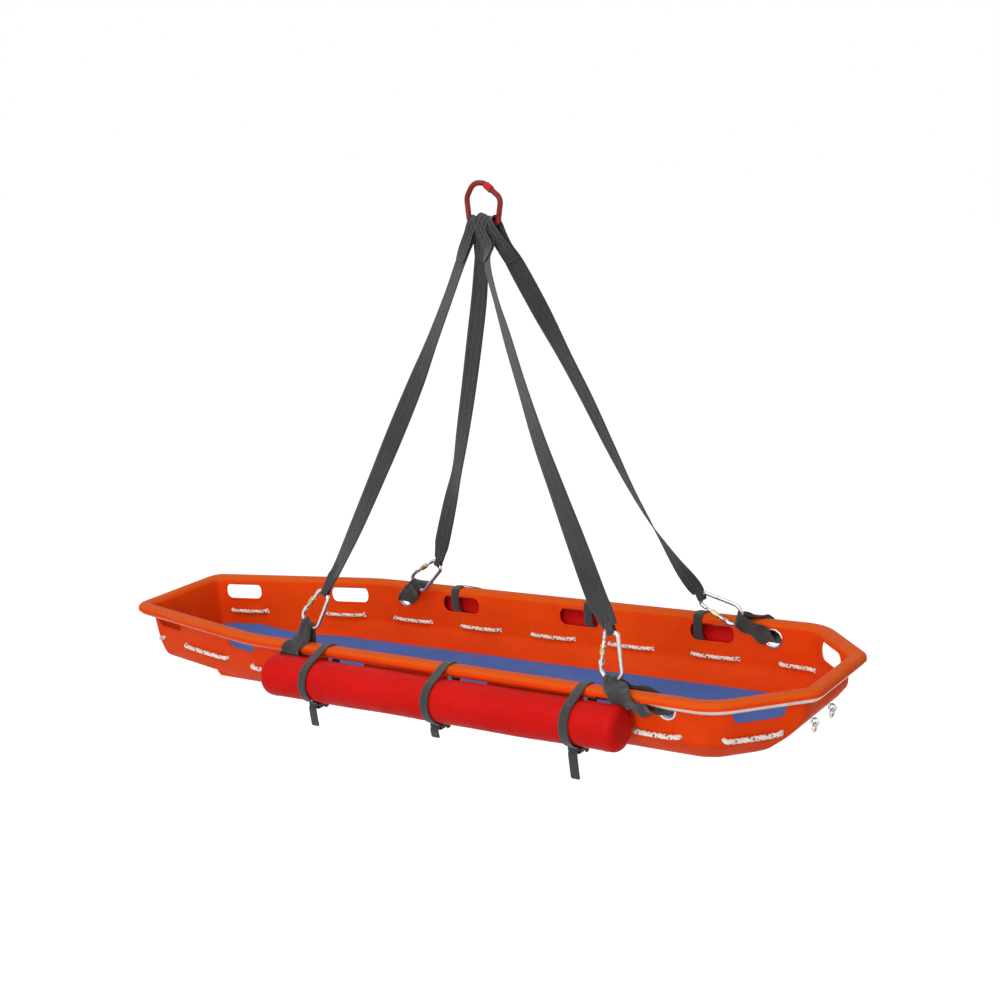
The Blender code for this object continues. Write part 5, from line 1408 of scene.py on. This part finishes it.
def slingLeg(name):
    # A strap gathered round the ring's bar and sewn back on itself, turning as it goes down, with a narrow
    # doubled strap at its foot: centre = top + along * length * share + right * bow + off the strap
    shape = legShapes[name]
    bow, longWay, across = carabinerAxes(name)
    back, right = np.array(view["back"]), np.array(view["right"])
    top = np.array((shape["place"], 0.0, -hang["drop"]))
    bottom = hung(bow + longWay * carabiner["length"])
    along = unit(bottom - top)
    bottom = bottom - along * sling["footGap"]
    length = float(np.linalg.norm(bottom - top))
    front = unit(np.cross(along, back))
    front = front if front[0] > 0 else -front
    side = np.cross(along, front)

    def turnOf(way):
        # The angle of a width direction about the leg, measured from the one seen whole from the front
        return math.degrees(math.atan2(float(way @ side), float(way @ front)))

    def placed(rows):
        # Centres and ways across from rows of (distance down, distance off, turn, bow)
        turn = np.radians(rows[:, 2:3])
        way = front * np.cos(turn) + side * np.sin(turn)
        off = np.cross(along, way)
        off = off * np.sign(off @ back)[:, None]
        return np.concatenate((top + along * rows[:, :1] + off * rows[:, 1:2] + right * rows[:, 3:4], way), 1)

    barTurn = turnOf(xAxis)
    sense = 1.0 if barTurn > 0 else -1.0
    rows = np.array(shape["rows"], float)
    (_, firstTurn, firstBow, firstWide), (_, lastTurn, lastBow, lastWide) = rows[0], rows[-1]
    last = lastTurn * sense
    eyeTurn = turnOf(hung(across, True))
    eyeTurn = eyeTurn + 180.0 * round((last - eyeTurn) / 180.0)
    r, neck = shape["eye"], shape["neck"] / sling["width"]
    high, wide = neck * 0.7 + 0.3 * firstWide, neck * 0.35 + 0.65 * firstWide
    first = barTurn * 0.7 + firstTurn * sense * 0.3
    # Columns: distance down, distance off, turn, bow, width, pleat
    path = [(0.104, 0.0038, firstTurn * sense, firstBow / 1100, wide * 0.9, 0.0003),
            (0.070, 0.0052, first, 0.001, high, 0.0006), (0.036, r * 0.62, barTurn, 0.0, neck, 0.0010),
            (0.016, r * 0.94, barTurn, 0.0, neck, 0.0012)]
    path += [(-r * math.cos(t), r * math.sin(t), barTurn, 0.0, neck, 0.0013)
             for t in np.radians((90, 60, 30, 0, -30, -60, -90))]
    path += [(0.016, -r * 0.94, barTurn, 0.0, neck, 0.0012),
             (0.036, -r * 0.55, barTurn, 0.0, neck * 1.05, 0.0010),
             (0.070, -r * 0.15, first, 0.001, high, 0.0006)]
    path += [(length * share, 0.0, turn * sense, off / 1000, wide, 0.0003) for share, turn, off, wide in rows]
    foot, endWide = length - shape["end"], shape["endWidth"]
    path += [(foot - 0.03, 0.0002, last * 0.5 + eyeTurn * 0.5, lastBow / 3000, endWide * 0.5 + lastWide * 0.5,
              0.0006), (foot, 0.0006, eyeTurn, 0.0, endWide, 0.0010)]
    path = np.array(path)
    line = throughPoints(np.concatenate((placed(path), path[:, 4:6]), 1), sling["rows"])
    section = strapSection(line[:, 6] * sling["width"], sling["thickness"], columns=21, pleat=line[:, 7],
                           pleats=sling["pleats"])
    parts = [sweep(line[:, :3], line[:, 3:6], section, sheared=True)]
    # The narrow strap lies behind the wide one and goes round the carabiner's top bar; the same columns up to
    # the bow, and its width in metres
    r, narrow, eyeWide = carabiner["bar"] + sling["offBar"], sling["narrow"], sling["eyeWidth"]
    under = sling["behind"]
    over = under + sling["ply"]
    between = last * 0.6 + eyeTurn * 0.4
    eye = [(length - 0.120, under, last, lastBow / 1000, narrow),
           (length - 0.085, under, between, lastBow / 2000, narrow),
           (length - 0.045, under, eyeTurn, 0.0, narrow),
           (length - 0.022, under - 0.0008, eyeTurn, 0.0, eyeWide)]
    eye += [(length + r * math.sin(t), -r * math.cos(t), eyeTurn, 0.0, sling["onBar"])
            for t in np.radians((0, 45, 90, 135, 180))]
    eye += [(length - 0.022, 0.0010, eyeTurn, 0.0, eyeWide), (length - 0.040, over, eyeTurn, 0.0, narrow),
            (length - 0.085, over, between, lastBow / 2000, narrow)]
    eye = np.array(eye)
    line = throughPoints(np.concatenate((placed(eye), eye[:, 4:5]), 1), sling["eyeRows"])
    section = strapSection(line[:, 6], sling["eyeThickness"])
    parts.append(sweep(line[:, :3], line[:, 3:6], section, sheared=True))
    return makePiece(name + "SlingLeg", parts, "leg", "basket", name + "_sling_leg")


for name in anchors:
    slingLeg(name)
print("sling legs made")


ringShape = {"bar": 0.00675, "corners": [(-0.0423, -0.0878), (0.0423, -0.0878), (0.0505, -0.026),
                                         (0.001, 0.00675), (-0.030, 0.00675), (-0.0505, -0.030)],
             "radii": (0.011, 0.011, 0.022, 0.018, 0.030, 0.030), "nut": 0.0102, "nutLength": 0.020,
             "nutShare": 0.72, "bore": 0.0005, "nutRound": (0.0014, 0.0016),
             "nutFaces": (0, 0.3, 1, 1, 1, 0.3, 0)}


def liftingRing():
    # A bar carried round a six-cornered loop, and its nut between the third and fourth corners
    ring = ringShape
    outline = roundedLoop(ring["corners"], ring["radii"], 14, 8)
    path = columnsOf(outline[:, 0], 0.0, outline[:, 1])
    bar = sweep(path, yAxis, circle(ring["bar"], 24), closed=True)
    makePiece("liftingRing", [bar], "ring", "ring", "lifting_ring")
    low, high = (np.array((x, 0.0, z)) for x, z in ring["corners"][2:4])
    way = unit(high - low)
    place = framed(low + (high - low) * ring["nutShare"], yAxis, np.cross(way, yAxis), way)
    half, inner, outer = ring["nutLength"] / 2, ring["bar"] + ring["bore"], ring["nut"]
    flat, tall = ring["nutRound"]
    profile = [(inner, -half), (outer - flat, -half), (outer, -half + tall), (outer, 0.0),
               (outer, half - tall), (outer - flat, half), (inner, half)]
    nut = lathe(profile, 72, place, ripple=hexagon(ring["nutFaces"], 72))
    makePiece("ringNut", [nut], "nut", "nut", "ring_nut", 25.0)


liftingRing()


def towEye(word, side):
    # An eye bolt through the sloping wall, its nut inside, and a loose ring that hangs straight down in it
    t = towLook
    place = towPlace(side)
    top = t["stand"] + t["eyeBar"]
    inner = basket["wall"] + t["nutThick"] + t["shankOut"]
    shank = [(0.0001, -inner), (t["shank"] - t["shankRound"], -inner), (t["shank"], -inner + t["shankRound"]),
             (t["shank"], -0.0002), *t["collar"], (t["neck"], top), (0.0001, top)]
    a = turnAngles(48)[:, None]
    middle = top + t["eye"]
    loop = np.concatenate((t["eye"] * np.sin(a), 0 * a, middle - t["eye"] * np.cos(a)), 1)
    parts = [lathe(shank, 28, place, closed=False),
             sweep(moved(loop, place), place[:3, 1], circle(t["eyeBar"], 14), closed=True)]
    makePiece(word + "TowEyeBolt", parts, "steel", "basket", word + "_tow_eye_bolt")
    near = -basket["wall"] - t["clear"]
    far = near - t["nutThick"]
    bore = (t["shank"] + t["clear"]) / math.cos(math.pi / 6)
    outer, edge = t["nut"], t["nutRound"]
    profile = [(bore, far), (outer - edge, far), (outer, far + edge), (outer, near - edge),
               (outer - edge, near), (bore, near)]
    nut = lathe(profile, 36, place, ripple=hexagon(t["nutFaces"], 36))
    makePiece(word + "TowNut", [nut], "steel", "basket", word + "_tow_nut", 25.0)
    touch = t["eye"] - t["eyeBar"] - t["ringBar"] - t["clear"]
    centre = moved(zAxis * middle, place) - zAxis * (touch + t["ring"])
    loop = centre + t["ring"] * np.concatenate((0 * a, np.sin(a), np.cos(a)), 1)
    ring = sweep(loop, xAxis, circle(t["ringBar"], 14), closed=True)
    makePiece(word + "TowRing", [ring], "steel", word + "_tow_ring_body", word + "_tow_ring")


for word, side in sides:
    towEye(word, side)
print("ring and tow eyes made")
